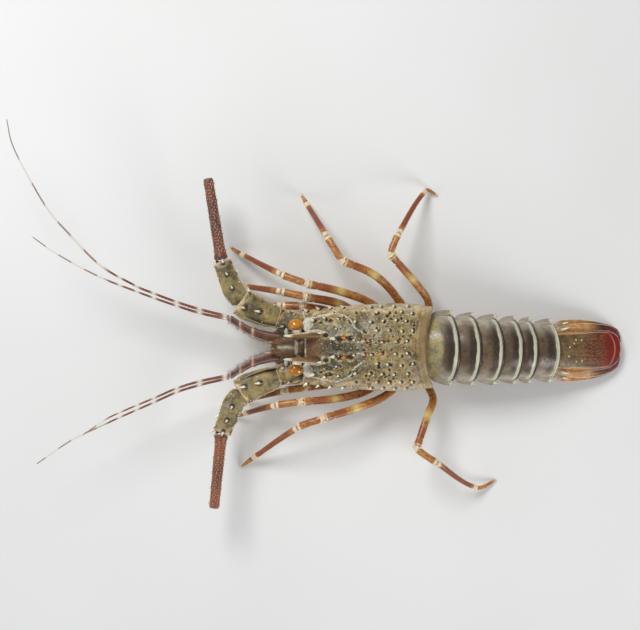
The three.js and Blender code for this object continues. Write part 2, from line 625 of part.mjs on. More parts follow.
// Walking legs: the path from the body to the knee, then the wrist, the end of the hand, and the claw's tip.
const legs = {
  leg1_r: {
    upper: [[-40.6, 5.4, 12.8], [-45.5, 13, 12.3], [-57, 20.8, 13], [-74, 24.6, 16]],
    lower: [[-85, 24.8, 14], [-106, 24.2, 4.4], [-114, 22.8, legTipHeight]],
    thick: 1.12,
  },
  leg2_r: {
    upper: [[-32.6, 7.2, 12.8], [-36.5, 15.5, 12.4], [-49.4, 25.4, 14.8], [-71.8, 30.2, 23]],
    lower: [[-85.4, 33.1, 21], [-109.7, 37, 5.5], [-118, 38.6, legTipHeight]],
    thick: 1.05,
  },
  leg3_r: {
    upper: [[-23.6, 9, 12.8], [-24.5, 17.5, 12.4], [-31, 25.8, 15], [-49, 32.9, 24], [-70.8, 38, 30]],
    lower: [[-85.4, 43.4, 27], [-111, 56.7, 6.5], [-118, 60.9, legTipHeight]],
    thick: 1,
  },
  leg4_r: {
    upper: [[-14.6, 10.8, 12.8], [-13.2, 19, 12.4], [-14.4, 27, 15], [-29, 42.4, 27], [-49.5, 51.6, 33]],
    lower: [[-58.2, 65.7, 29], [-71, 87.6, 6], [-74, 93, legTipHeight]],
    thick: 1,
  },
  leg5_r: {
    upper: [[-5.6, 11.6, 12.8], [0.5, 17.8, 12.2], [3.2, 24.4, 14], [0.6, 31.4, 19], [-20.8, 55.5, 33]],
    lower: [[-15.9, 67.2, 30], [2.1, 94.9, 5], [9.8, 92.4, legTipHeight]],
    thick: 0.95,
  },
  leg1_l: {
    upper: [[-40.6, -5.4, 12.8], [-45.5, -11.8, 11.6], [-58, -17.6, 10.8], [-73.5, -20.4, 11.4]],
    lower: [[-84, -20.8, 10.4], [-105, -21.2, 3.6], [-113, -20.4, legTipHeight]],
    thick: 1.05,
  },
  leg2_l: {
    upper: [[-32.6, -7.2, 12.8], [-37, -15, 12.6], [-52, -21.4, 15.4], [-71, -24.6, 18]],
    lower: [[-83, -26.4, 16], [-104, -32, 5], [-112, -35, legTipHeight]],
    thick: 1,
  },
  leg3_l: {
    upper: [
      [-23.6, -9, 12.8], [-25, -17.5, 12.5], [-33.5, -26.2, 15.5], [-50.1, -30.6, 22], [-74.5, -32.8, 28],
    ],
    lower: [[-88.6, -34.8, 25.5], [-109, -41, 7], [-117, -44, legTipHeight]],
    thick: 1,
  },
  leg4_l: {
    upper: [[-14.6, -10.8, 12.8], [-15.5, -19, 12.5], [-21, -28, 16], [-36, -35, 24], [-61.3, -42.6, 31]],
    lower: [[-75.5, -48, 27.5], [-103.8, -68.3, 6], [-111.4, -74.3, legTipHeight]],
    thick: 1,
  },
  leg5_l: {
    upper: [
      [-5.6, -11.6, 12.8], [-1.5, -18, 12.2], [3.5, -25.4, 14.5], [5.6, -32, 19], [1.5, -42, 26],
      [-5.2, -60.4, 33],
    ],
    lower: [[6.6, -68.6, 29.5], [33.3, -84.7, 5.5], [45.7, -80, legTipHeight]],
    thick: 0.95,
  },
};
// [share of the length, radius]: hip, then the thigh, then a flare at the knee.
const upperProfile = [
  [0, 3.2], [0.09, 3.3], [0.16, 2.7], [0.2, 2.9], [0.3, 2.5], [0.45, 2.5], [0.6, 2.55], [0.75, 2.5],
  [0.9, 2.4], [0.96, 2.8], [1, 2.5],
];
// [joint number and share past it, radius]: wrist, hand, claw.
const lowerProfile = [
  [0, 1.7], [0.25, 2.2], [0.85, 2.4], [1, 2.1], [1.15, 1.9], [1.5, 1.75], [1.85, 1.55], [2, 1.5],
  [2.2, 1.35], [2.6, 1.05], [3, 0.55],
];
const kneeSpine = 2.6;

function upperLeg({ upper, thick }, grow = 0) {
  const stations = stationsAlong(upper, upperProfile.map(([share, radius]) => [share, radius * thick]));
  const body = tube(stations, { sides: 8, grow });
  if (grow) return body;
  const knee = new THREE.Vector3(...upper[upper.length - 1]);
  const ahead = knee.clone().sub(new THREE.Vector3(...upper[upper.length - 2])).normalize();
  const root = knee.clone().addScaledVector(ahead, -1.6).addScaledVector(up, 1.6 * thick);
  return join([body, spine(root, ahead.clone().addScaledVector(up, 0.5), kneeSpine, 1)]);
}

function lowerLeg({ upper, lower, thick }) {
  const joints = [upper[upper.length - 1], ...lower].map((p) => new THREE.Vector3(...p));
  const curve = new THREE.CatmullRomCurve3(joints, false, "centripetal");
  const spans = joints.length - 1;
  const stations = lowerProfile.map(([place, radius]) => (
    [...curve.getPoint(place / spans).toArray(), radius * thick]
  ));
  return tube(stations, { sides: 7 });
}

// Assembly

const sides = { r: 1, l: -1 };
const sockets = [somiteBody(0, gap), ...Object.values(sides).map((side) => antennaPiece("base", side, gap))];
addNode("carapace", join([carapaceBody(), ...carapaceSpines()]), shellColour, 0.6, sockets);
addNode("antennular_plate", antennularPlate(), shellColour, 0.6, [
  carapaceBody(gap),
  ...Object.values(sides).map((side) => antennule(side, gap)),
  ...Object.values(sides).map((side) => antennaPiece("base", side, gap)),
]);
addNode("sternum", sternum(), bellyColour, 0.5, [carapaceBody(gap)]);
addNode("epistome", epistome(), bellyColour, 0.5, [
  carapaceBody(gap),
  ...Object.values(sides).map((side) => antennaPiece("base", side, gap)),
]);

for (const [letter, side] of Object.entries(sides)) {
  addNode("eye_" + letter, eye(side), eyeColour, 0.2, [carapaceBody(gap)]);
  addNode("antenna_base_" + letter, antennaPiece("base", side), shellColour, 0.6);
  const [base, middlePiece, endPiece] = ["base", "middle", "end"].map((name) => (
    antennaPiece(name, side, gap)
  ));
  addNode("antenna_middle_" + letter, antennaPiece("middle", side), shellColour, 0.6, [base]);
  addNode("antenna_end_" + letter, antennaPiece("end", side), shellColour, 0.6, [middlePiece]);
  addNode("antenna_whip_" + letter, whip(whips[letter]), flagellumColour, 0.6, [endPiece]);
  addNode("antennule_stalk_" + letter, antennule(side), flagellumColour, 0.6);
  for (const place of ["outer", "inner"]) {
    const points = antennuleWhips[letter][place];
    const stalk = antennule(side, gap);
    addNode(`antennule_${place}_${letter}`, antennuleWhip(points), flagellumColour, 0.6, [stalk]);
  }
  addNode("maxilliped_" + letter, maxilliped(side), legColour, 0.5);
}

for (const [name, leg] of Object.entries(legs)) {
  addNode(name + "_upper", upperLeg(leg), legColour, 0.5, [sternum(gap), carapaceBody(gap)]);
  addNode(name + "_lower", lowerLeg(leg), legColour, 0.5, [upperLeg(leg, gap)]);
}

somiteBacks.forEach((_, i) => {
  const ring = join([somiteBody(i), pleuron(i, 1), pleuron(i, -1)]);
  const behind = i < somiteBacks.length - 1 ? [somiteBody(i + 1, gap)] : [telson(gap)];
  addNode(`abdomen_${i + 1}`, ring, tailColour, 0.5, [...behind, ...(i === 0 ? [sternum(gap)] : [])]);
});
addNode("telson", telson(), fanColour, 0.45);
const lastRing = somiteBacks.length - 1;
const lastSomite = join([somiteBody(lastRing, gap), pleuron(lastRing, 1, gap), pleuron(lastRing, -1, gap)]);
for (const [letter, side] of Object.entries(sides)) {
  const drop = side < 0 ? lowerFan : () => 0;
  const innerBlade = uropod(endopodStations, side, () => 0);
  addNode("uropod_inner_" + letter, innerBlade, fanColour, 0.45, [lastSomite, telson(gap)]);
  const inner = uropod(endopodStations, side, () => 0, gap);
  addNode("uropod_outer_" + letter, uropod(exopodStations, side, drop), fanColour, 0.45, [lastSomite, inner]);
}
for (const pair of swimmerets) {
  const belly = [pair.ring - 1, pair.ring].map((i) => somiteBody(i, gap));
  addNode("swimmerets_" + pair.ring, swimmeretPair(pair), swimmeretColour, 0.5, belly);
}

// The origin is under the middle of the box, on the floor.
const box = new THREE.Box3().setFromObject(lobster);
const middle = box.getCenter(new THREE.Vector3());
lobster.position.set(-middle.x, -middle.y, -box.min.z);

export default lobster;
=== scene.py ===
import math
import random

import bpy
import numpy as np
from mathutils import Matrix, Vector


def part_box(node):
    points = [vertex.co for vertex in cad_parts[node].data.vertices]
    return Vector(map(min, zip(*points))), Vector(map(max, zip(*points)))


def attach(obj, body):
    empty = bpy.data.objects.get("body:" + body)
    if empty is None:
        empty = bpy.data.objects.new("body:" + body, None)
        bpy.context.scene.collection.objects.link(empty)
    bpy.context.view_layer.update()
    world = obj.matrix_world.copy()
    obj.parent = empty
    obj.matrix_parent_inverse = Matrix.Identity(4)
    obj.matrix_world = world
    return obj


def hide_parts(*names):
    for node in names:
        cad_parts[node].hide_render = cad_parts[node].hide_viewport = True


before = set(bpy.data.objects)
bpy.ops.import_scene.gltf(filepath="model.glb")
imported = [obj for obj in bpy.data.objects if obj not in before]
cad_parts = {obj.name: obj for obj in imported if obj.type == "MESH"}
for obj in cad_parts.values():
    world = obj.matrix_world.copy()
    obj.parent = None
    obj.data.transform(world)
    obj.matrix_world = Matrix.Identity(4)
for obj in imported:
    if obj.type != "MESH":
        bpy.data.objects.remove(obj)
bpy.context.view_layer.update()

up = Vector((0, 0, 1))
random.seed(12)

# Everything is shaped in millimetres, with x = 0 at the back edge of the carapace and z = 0 on the floor,
# as the solids were. The breastplate's box says where that place is in the frame.
breastplate = {"front": -44.5}
plateLow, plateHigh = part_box("sternum")
zero = Vector((plateLow.x - breastplate["front"] / 1000, (plateLow.y + plateHigh.y) / 2, 0))

# How far the tail leans to the animal's left, by x
tailLean = [(8, 0), (20, 1), (47, 1.8), (81, 2.4), (104, 2.2), (122, 1.2)]

sides = {"r": 1, "l": -1}
smoothAngle = 35  # degrees between faces past which an edge stays sharp


# Curves and shapes

def smooth(keys, x):
    # a value that follows (position, value) pairs on a smooth curve
    at = np.array([key[0] for key in keys], float)
    value = np.array([key[1] for key in keys], float)
    slope = np.empty(len(at))
    slope[1:-1] = (value[2:] - value[:-2]) / (at[2:] - at[:-2])
    slope[0] = (value[1] - value[0]) / (at[1] - at[0])
    slope[-1] = (value[-1] - value[-2]) / (at[-1] - at[-2])
    x = np.clip(x, at[0], at[-1])
    i = np.clip(np.searchsorted(at, x, side="right") - 1, 0, len(at) - 2)
    width = at[i + 1] - at[i]
    t = (x - at[i]) / width
    start = (2 * t ** 3 - 3 * t ** 2 + 1) * value[i] + (t ** 3 - 2 * t ** 2 + t) * slope[i] * width
    end = (3 * t ** 2 - 2 * t ** 3) * value[i + 1] + (t ** 3 - t ** 2) * slope[i + 1] * width
    return start + end


def mixed(a, b, t):
    return a + (b - a) * t


def bump(x, middle, width):
    # 1 at the middle, falling away on both sides
    return np.exp(-(((x - middle) / width) ** 2))


def step(x, start, end):
    # 0 before start and 1 after end, on a soft slope
    t = np.clip((x - start) / (end - start), 0, 1)
    return t * t * (3 - 2 * t)


def until(x, start, end):
    # 1 before start and 0 after end
    return 1 - step(x, start, end)


def superellipse(angle, power):
    # a point at an angle: power 2 is an ellipse, and more is squarer
    across, over = np.cos(angle), np.sin(angle)
    return np.sign(across) * abs(across) ** (2 / power), np.sign(over) * abs(over) ** (2 / power)


def lineThrough(points, count):
    # evenly spaced points on a smooth curve, with any further values of the points carried along
    points = np.array(points, float)
    gaps = np.linalg.norm(np.diff(points[:, :3], axis=0), axis=1)
    reach = np.concatenate([[0], np.cumsum(gaps)])
    at = np.linspace(0, reach[-1], count)
    return np.stack([smooth(list(zip(reach, column)), at) for column in points.T], 1)


def sideways(line):
    # for each point of a line: the way ahead, to the side, and over
    ahead = np.gradient(line[:, :3], axis=0)
    ahead /= np.linalg.norm(ahead, axis=1)[:, None]
    side = np.cross(ahead, up)
    side /= np.linalg.norm(side, axis=1)[:, None]
    return ahead, side, np.cross(side, ahead)


def distanceTo(path, x, y):
    # the distance in plan from points to a bent line
    nearest = np.full(np.shape(x), 1e9)
    for (ax, ay), (bx, by) in zip(path[:-1], path[1:]):
        t = np.clip(((x - ax) * (bx - ax) + (y - ay) * (by - ay)) / ((bx - ax) ** 2 + (by - ay) ** 2), 0, 1)
        nearest = np.minimum(nearest, np.hypot(x - mixed(ax, bx, t), y - mixed(ay, by, t)))
    return nearest


# Meshes

def writeMask(piece, name, values):
    mask = piece.data.attributes.get(name) or piece.data.attributes.new(name, "FLOAT", "POINT")
    count = len(piece.data.vertices)
    mask.data.foreach_set("value", np.broadcast_to(np.asarray(values, np.float32), (count,)).copy())


def writeMasks(piece, **masks):
    for name, values in masks.items():
        writeMask(piece, name, values)


def readMask(piece, name):
    values = np.empty(len(piece.data.vertices), np.float32)
    piece.data.attributes[name].data.foreach_get("value", values)
    return values


def turnOf(piece):
    # the angle round the piece at each point of it: its upper side is at a quarter turn
    return readMask(piece, "around") * 2 * math.pi


def places(piece):
    spots = np.empty(len(piece.data.vertices) * 3)
    piece.data.vertices.foreach_get("co", spots)
    return spots.reshape(-1, 3)


def moveTo(piece, spots):
    piece.data.vertices.foreach_set("co", np.ascontiguousarray(spots, np.float64).ravel())
    piece.data.update()


def onlyThis(piece):
    bpy.ops.object.select_all(action="DESELECT")
    piece.select_set(True)
    bpy.context.view_layer.objects.active = piece


def drawOut(name, across, along, place):
    # a grid is added and rolled into shape, then its seam is merged and its ends are closed
    bpy.ops.object.select_all(action="DESELECT")
    bpy.ops.mesh.primitive_grid_add(x_subdivisions=across, y_subdivisions=along, size=1)
    piece = bpy.context.active_object
    piece.name = piece.data.name = name
    grid = places(piece)
    around, lengthwise = grid[:, 0] + 0.5, grid[:, 1] + 0.5
    moveTo(piece, np.stack(np.broadcast_arrays(*place(around, lengthwise)), 1))
    writeMasks(piece, around=around, along=lengthwise)
    onlyThis(piece)
    bpy.ops.object.mode_set(mode="EDIT")
    bpy.ops.mesh.select_all(action="SELECT")
    bpy.ops.mesh.remove_doubles(threshold=0.0005)
    bpy.ops.mesh.select_all(action="DESELECT")
    bpy.ops.mesh.select_non_manifold()
    bpy.ops.mesh.fill_holes(sides=0)
    bpy.ops.mesh.select_all(action="SELECT")
    bpy.ops.mesh.normals_make_consistent(inside=False)
    bpy.ops.object.mode_set(mode="OBJECT")
    return piece


def ball(name, segments, rings):
    bpy.ops.object.select_all(action="DESELECT")
    bpy.ops.mesh.primitive_uv_sphere_add(segments=segments, ring_count=rings, radius=1)
    piece = bpy.context.active_object
    piece.name = piece.data.name = name
    return piece


def stretchTo(piece, size, centre):
    moveTo(piece, places(piece) * np.array(size) + np.array(centre))


def onSide(side, points):
    # points or stations of the animal's right side, put on the side that is asked for
    return [(x, side * y, *rest) for x, y, *rest in points]


def tube(name, stations, across=24, along=40, power=2.0, shape=None, rounding=(0, 0)):
    # a closed tube through stations (x, y, z, half width, half height). shape swells each point of it, and
    # rounding is the share of its length that is rounded off at each end
    line = lineThrough(stations, along + 1)
    _, side, over = sideways(line)
    if line.shape[1] < 5:
        line = np.concatenate([line, line[:, 3:4]], 1)

    def place(around, lengthwise):
        i = np.rint(lengthwise * along).astype(int)
        angle = around * 2 * math.pi
        wide, high = superellipse(angle, power)
        swell = shape(angle, lengthwise) if shape else 0
        thin = roundOff(lengthwise, rounding[0]) * roundOff(1 - lengthwise, rounding[1])
        out = side[i] * (wide * (line[i, 3] + swell) * thin)[:, None]
        out += over[i] * (high * (line[i, 4] + swell) * thin)[:, None]
        return (line[i, :3] + out).T

    return drawOut(name, across, along, place)


def roundOff(fromEnd, reach):
    # from near 0 at an end to 1, on a quarter circle
    if not reach:
        return np.ones_like(fromEnd)
    return np.sqrt(np.clip(1 - (1 - np.clip(fromEnd / reach, 0.01, 1)) ** 2, 0, 1))


def limb(name, points, profile, across=20, along=120, power=2.1, rounding=(0.01, 0.01), shape=None):
    # a round tube on a smooth curve through points, with a profile of (share of the length, radius)
    line = lineThrough(points, along + 1)
    radius = smooth(profile, np.linspace(0, 1, along + 1))
    stations = np.column_stack([line, radius, radius])
    return tube(name, stations, across, along, power, shape, rounding)


def plate(name, stations, side=1, drop=None, across=88, along=60, relief=None):
    # a closed thin plate through stations (x, y, z, half width, half thickness, arch)
    keys = np.array(stations, float)
    xs = keys[:, 0]

    def at(column, x):
        return smooth(list(zip(xs, keys[:, column])), x)

    def place(around, lengthwise):
        # rows are closer near the tip, where the outline turns
        x = mixed(xs[0], xs[-1], 1 - (1 - lengthwise) ** 1.35)
        wide = np.cos(around * 2 * math.pi)
        high = np.sign(np.sin(around * 2 * math.pi)) * (1 - abs(wide) ** 3) ** (1 / 3)
        lift = relief(x, wide, high) if relief else 0
        z = at(2, x) - (drop(x) if drop else 0) - at(5, x) * wide ** 2
        return x, side * (at(1, x) + wide * at(3, x)), z + high * at(4, x) + lift

    piece = drawOut(name, across, along, place)
    across = np.cos(turnOf(piece))
    writeMasks(piece, lanes=across, edge=abs(across))
    return piece


def roughen(piece, size, depth):
    # small unevenness from a cloud pattern, made real in the mesh
    pattern = bpy.data.textures.new(piece.name + "Clouds", "CLOUDS")
    pattern.noise_scale = size
    onlyThis(piece)
    modifier = piece.modifiers.new("rough", "DISPLACE")
    modifier.texture = pattern
    modifier.texture_coords = "LOCAL"
    modifier.strength = depth
    bpy.ops.object.modifier_apply(modifier="rough")
    bpy.data.textures.remove(pattern)


def joined(pieces, name):
    bpy.ops.object.select_all(action="DESELECT")
    for piece in pieces:
        piece.select_set(True)
    bpy.context.view_layer.objects.active = pieces[0]
    if len(pieces) > 1:
        bpy.ops.object.join()
    pieces[0].name = pieces[0].data.name = name
    return pieces[0]


def setDown(piece, node, material):
    # from millimetres to its place in the frame, where it rides on the body and stands for its node
    spots = places(piece)
    spots[:, 1] -= smooth(tailLean, spots[:, 0])
    spots[:, 2] = np.maximum(spots[:, 2], 0)  # what rests on the floor is flat there
    moveTo(piece, spots)
    piece.data.transform(Matrix.Translation(zero) @ Matrix.Scale(0.001, 4))
    onlyThis(piece)
    bpy.ops.object.shade_smooth_by_angle(angle=math.radians(smoothAngle))
    piece.data.materials.clear()
    piece.data.materials.append(material)
    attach(piece, "root")
    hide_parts(node)


def dress(node, slotName, *pairs):
    for piece, material in pairs:
        setDown(piece, node, material)


# Spines and hairs

spineShape = {"corners": 8, "rows": 6, "bend": 0.22, "tip": 0.04}
granuleShape = {"corners": 6, "rows": 2, "bend": 0.1, "tip": 0.3}
hairShape = {"corners": 3, "rows": 3, "bend": 0.5, "tip": 0.15}


def thorn(name, shape):
    # one spine along +Z, 1 long from its sunk root and 1 in radius, bent towards +X
    def place(around, lengthwise):
        radius = mixed(1, shape["tip"], lengthwise ** 1.15)
        angle = around * 2 * math.pi
        return (np.cos(angle) * radius + shape["bend"] * lengthwise ** 2, np.sin(angle) * radius,
                mixed(-0.25, 1, lengthwise))
    return drawOut(name, shape["corners"], shape["rows"], place)


def drawn(shape, *names):
    # a random value from each of the ranges that are named
    return [random.uniform(*shape[name]) for name in names]


def spread(name, template, roots):
    # a copy of the template, with a mesh of its own, at each root: (place, direction, length, radius, tint)
    copies = []
    for place, direction, length, radius, tint in roots:
        copy = template.copy()
        copy.data = template.data.copy()
        bpy.context.scene.collection.objects.link(copy)
        ahead = Vector(direction).normalized()
        turn = ahead.to_track_quat("Z", "X").to_matrix().to_4x4()
        size = Matrix.Diagonal((radius, radius, length, 1))
        copy.data.transform(Matrix.Translation(Vector(place)) @ turn @ size)
        writeMask(copy, "tint", tint)
        copies.append(copy)
    return joined(copies, name)


def surfaceOf(stations, power):
    # finds the place on a tube at row i of 60 and at an angle round it, the way out of it and the way ahead
    line = lineThrough(stations, 60)
    ways, across, over = sideways(line)

    def at(i, turn):
        wide, high = superellipse(turn, power)
        outward = across[i] * float(wide) * line[i, 3] + over[i] * float(high) * line[i, 4]
        return line[i, :3] + outward, outward / np.linalg.norm(outward), ways[i]

    return at


def bristles(name, line, shape, radiusAt):
    # hairs at random places round a line
    ways, across, over = sideways(line)
    roots = []
    for _ in range(shape["count"]):
        i = random.randrange(*shape["rows"])
        turn = random.uniform(*shape["turn"])
        out = across[i] * math.cos(turn) + over[i] * math.sin(turn)
        foot = line[i, :3] + out * radiusAt(i) * shape["sunk"]
        length = random.uniform(*shape["length"])
        tint = random.choice(shape["tints"]) if len(shape["tints"]) > 1 else shape["tints"][0]
        roots.append((Vector(foot), Vector(out * shape["outward"] + ways[i] * shape["ahead"]), length,
                      shape["radius"], tint))
    return spread(name, hairModel, roots)


spineModel = thorn("spineModel", spineShape)
granuleModel = thorn("granuleModel", granuleShape)
hairModel = thorn("hairModel", hairShape)


# Materials

def tone(red, green, blue):
    # a colour as it looks on a screen, each part from 0 to 255
    return tuple(((c / 255 + 0.055) / 1.055) ** 2.4 for c in (red, green, blue)) + (1,)


def fill(node, tree, sockets):
    # gives sockets their values, or links them
    for key, value in sockets.items():
        if isinstance(value, bpy.types.NodeSocket):
            tree.links.new(value, node.inputs[key])
        else:
            node.inputs[key].default_value = value
    return node


def put(tree, kind, sockets=None, **setup):
    node = tree.nodes.new("ShaderNode" + kind)
    for key, value in setup.items():
        setattr(node, key, value)
    return fill(node, tree, sockets or {})


def reckon(tree, operation, a, b):
    return put(tree, "Math", {0: a, 1: b}, operation=operation, use_clamp=True).outputs[0]


def times(tree, a, b):
    return reckon(tree, "MULTIPLY", a, b)


def unclamped(tree, operation, a, b=0.0):
    return put(tree, "Math", {0: a, 1: b}, operation=operation).outputs[0]


def repeats(tree, size, often=1.0):
    # how often a pattern of a size in metres repeats in one metre
    return unclamped(tree, "DIVIDE", often, size)


def blendIn(tree, factor, ground, over):
    return put(tree, "Mix", {0: factor, 6: ground, 7: over}, data_type="RGBA").outputs[2]


def painted(tree, name):
    return put(tree, "Attribute", attribute_name=name).outputs["Fac"]


def layered(tree, colour, *layers):
    # colours laid over one another, each where its factor, or the mask that it names, says
    for factor, over in layers:
        factor = painted(tree, factor) if isinstance(factor, str) else factor
        colour = blendIn(tree, factor, colour, over)
    return colour


def remap(tree, value, low, high, start=0.0, end=1.0):
    sockets = {"Value": value, "From Min": low, "From Max": high, "To Min": start, "To Max": end}
    return put(tree, "MapRange", sockets).outputs["Result"]


def objectPlace(tree):
    return put(tree, "TexCoord").outputs["Object"]


def noise(tree, scale, detail, roughness=0.5):
    sockets = {"Vector": objectPlace(tree), "Scale": scale, "Detail": detail, "Roughness": roughness}
    return put(tree, "TexNoise", sockets).outputs


def clouds(tree, size, detail=4.0, roughness=0.6):
    return noise(tree, 1 / size, detail, roughness)["Fac"]


def cloudy(tree, size, low, high, start=0.0, end=1.0, detail=4.0, roughness=0.6):
    # clouds whose values from low to high are spread from start to end
    return remap(tree, clouds(tree, size, detail, roughness), low, high, start, end)


def broken(tree, mask, *pattern):
    # a painted mask broken up by clouds
    return times(tree, painted(tree, mask), cloudy(tree, *pattern))


def newGroup(name, inputs, outputs):
    group = bpy.data.node_groups.new(name, "ShaderNodeTree")
    for label, value in inputs.items():
        kind = "Color" if isinstance(value, tuple) else "Float"
        socket = group.interface.new_socket(label, in_out="INPUT", socket_type="NodeSocket" + kind)
        socket.default_value = value
    for label in outputs:
        kind = "Color" if label == "Color" else "Float"
        group.interface.new_socket(label, in_out="OUTPUT", socket_type="NodeSocket" + kind)
    return group, group.nodes.new("NodeGroupInput").outputs, group.nodes.new("NodeGroupOutput").inputs


def useGroup(tree, group, sockets):
    return fill(put(tree, "Group", node_tree=group), tree, sockets).outputs


def cellsAt(group, place, given):
    # the distance to the middle of a cell, and two numbers that each cell has for itself
    cells = put(group, "TexVoronoi", {"Vector": place, "Scale": repeats(group, given["Size"])}).outputs
    chances = put(group, "SeparateColor", {"Color": cells["Color"]}).outputs
    return cells["Distance"], chances[0], chances[1]


def mottleGroup():
    # three colours in cloudy patches, with finer clouds inside them
    group, given, made = newGroup(
        "mottle",
        {"Ground": tone(120, 110, 80), "Patch": tone(150, 140, 100), "Stain": tone(90, 60, 40),
         "Size": 0.006, "Contrast": 1.0},
        ["Color", "Cloud"],
    )
    coarse = noise(group, repeats(group, given["Size"]), 5.0, 0.62)["Fac"]
    fine = noise(group, repeats(group, given["Size"], 3.9), 4.0, 0.7)["Fac"]
    patches = times(group, remap(group, coarse, 0.44, 0.6), given["Contrast"])
    stains = times(group, remap(group, fine, 0.5, 0.66), given["Contrast"])
    colour = layered(group, given["Ground"], (patches, given["Patch"]), (stains, given["Stain"]))
    group.links.new(colour, made["Color"])
    group.links.new(fine, made["Cloud"])
    return group


def grainGroup():
    # small raised grains such as cover a horny shell, each a little different
    group, given, made = newGroup("grain", {"Size": 0.0008, "Spread": 0.42}, ["Grain", "Height", "Shade"])
    wobble = noise(group, 700.0, 2.0)["Color"]
    small = put(group, "VectorMath", {0: wobble, "Scale": 0.0005}, operation="SCALE").outputs[0]
    place = put(group, "VectorMath", {0: objectPlace(group), 1: small}, operation="ADD").outputs[0]
    distance, shade, _ = cellsAt(group, place, given)
    grain = remap(group, distance, given["Spread"], 0.12)
    group.links.new(grain, made["Grain"])
    group.links.new(times(group, grain, remap(group, shade, 0.2, 0.9, 0.25, 1.0)), made["Height"])
    group.links.new(shade, made["Shade"])
    return group


def freckleGroup():
    # dots of another colour
    group, given, made = newGroup(
        "freckle",
        {"Color": tone(120, 110, 80), "Freckle": tone(200, 190, 150), "Size": 0.0006, "Amount": 0.3},
        ["Color", "Freckles"],
    )
    distance, _, chosen = cellsAt(group, objectPlace(group), given)
    kept = unclamped(group, "LESS_THAN", chosen, given["Amount"])
    freckles = times(group, remap(group, distance, 0.38, 0.2), kept)
    group.links.new(blendIn(group, freckles, given["Color"], given["Freckle"]), made["Color"])
    group.links.new(freckles, made["Freckles"])
    return group


mottle, grain, freckle = mottleGroup(), grainGroup(), freckleGroup()


def mottled(tree, colours, size, contrast=1.0):
    sockets = dict(zip(("Ground", "Patch", "Stain"), colours), Size=size, Contrast=contrast)
    return useGroup(tree, mottle, sockets)


def patches(tree, colours, size, contrast=1.0):
    return mottled(tree, colours, size, contrast)["Color"]


def freckled(tree, colour, dots, size, amount):
    return useGroup(tree, freckle, {"Color": colour, "Freckle": dots, "Size": size, "Amount": amount})


def newFinish(name, roughness, coat=0.0, coatRoughness=0.2, flesh=0.0):
    # a material whose even values are set on the shader's own sockets
    material = bpy.data.materials.new(name)
    material.use_nodes = True
    shader = material.node_tree.nodes["Principled BSDF"]
    fill(shader, material.node_tree, {
        "Roughness": roughness, "Coat Weight": coat, "Coat Roughness": coatRoughness,
        "Subsurface Weight": flesh, "Subsurface Scale": 1.0, "Specular IOR Level": 0.38,
        "Subsurface Radius": (0.0012, 0.0006, 0.0003),
    })
    return material, material.node_tree, shader


def cover(tree, shader, colour, height=None, depth=0.0, strength=1.0):
    # gives the shader its colour, and a height pattern that is depth metres deep
    tree.links.new(colour, shader.inputs["Base Color"])
    if height:
        bumped = put(tree, "Bump", {"Height": height, "Strength": strength, "Distance": depth})
        tree.links.new(bumped.outputs["Normal"], shader.inputs["Normal"])


shellColours = {
    "olive": [tone(92, 81, 52), tone(140, 127, 82), tone(40, 31, 25)],
    # orange: patches for the flanks and underside, lighter than the shell's real orange, which adds a painted
    # highlight of light from the side
    "orange": [tone(200, 156, 98), tone(232, 210, 162), tone(128, 90, 58)],
    "grains": tone(178, 166, 112), "blue": tone(146, 156, 152), "shade": tone(52, 43, 32),
    "sand": tone(188, 158, 88), "midline": tone(30, 31, 34), "front": tone(112, 72, 34),
    "rear": tone(152, 128, 84), "spot": tone(44, 26, 24), "stalk": tone(166, 146, 92),
    "halo": tone(204, 184, 128), "line": tone(228, 222, 196), "under": tone(208, 190, 152),
}


def shellMaterial(colours):
    # the carapace and the stalks of the antennae
    material, tree, shader = newFinish("hornyShell", 0.42, coat=0.12, coatRoughness=0.25)
    base = mottled(tree, colours["olive"], 0.0045, 1.5)
    grains = useGroup(tree, grain, {"Size": 0.00065, "Spread": 0.44})
    bright = times(tree, grains["Grain"], remap(tree, grains["Shade"], 0.35, 0.85, 0.0, 0.7))
    bright = times(tree, bright, remap(tree, painted(tree, "smoothness"), 0.0, 1.0, 1.0, 0.15))
    colour = layered(
        tree, base["Color"],
        (times(tree, painted(tree, "stalk"), 0.55), colours["stalk"]),
        (cloudy(tree, 0.011, 0.46, 0.58, 0.0, 0.75, 5.0, 0.65), colours["shade"]),
        (cloudy(tree, 0.0075, 0.54, 0.66, 0.0, 0.6, 4.0, 0.7), colours["sand"]),
        (broken(tree, "under", 0.008, 0.35, 0.55, 0.3), colours["under"]),
        # orange patches on the flanks and underside: partly their real colour and partly a painted highlight
        # of light from the side
        (broken(tree, "warm", 0.0065, 0.4, 0.54, 0.2), patches(tree, colours["orange"], 0.0032)),
        (broken(tree, "cool", 0.0052, 0.53, 0.62, 0.0, 0.8, 3.0), colours["blue"]),
        ("dusk", colours["midline"]),
        ("brown", colours["front"]),
        (bright, colours["grains"]),
        (times(tree, painted(tree, "rear"), 0.75), colours["rear"]),
        (broken(tree, "halo", 0.0018, 0.42, 0.56, 0.05, 0.7), colours["halo"]),
        ("dark", colours["spot"]),
        (broken(tree, "pale", 0.0014, 0.36, 0.5, 0.35), colours["line"]),
    )
    tree.links.new(remap(tree, base["Cloud"], 0.35, 0.65, 0.32, 0.52), shader.inputs["Roughness"])
    height = reckon(tree, "ADD", times(tree, grains["Height"], 0.7), times(tree, base["Cloud"], 0.3))
    cover(tree, shader, colour, height, 0.00028, 0.9)
    return material


spineColours = {
    "root": tone(50, 30, 38), "cream": tone(238, 230, 200), "faint": tone(178, 160, 108),
    "orange": tone(224, 126, 38),
}


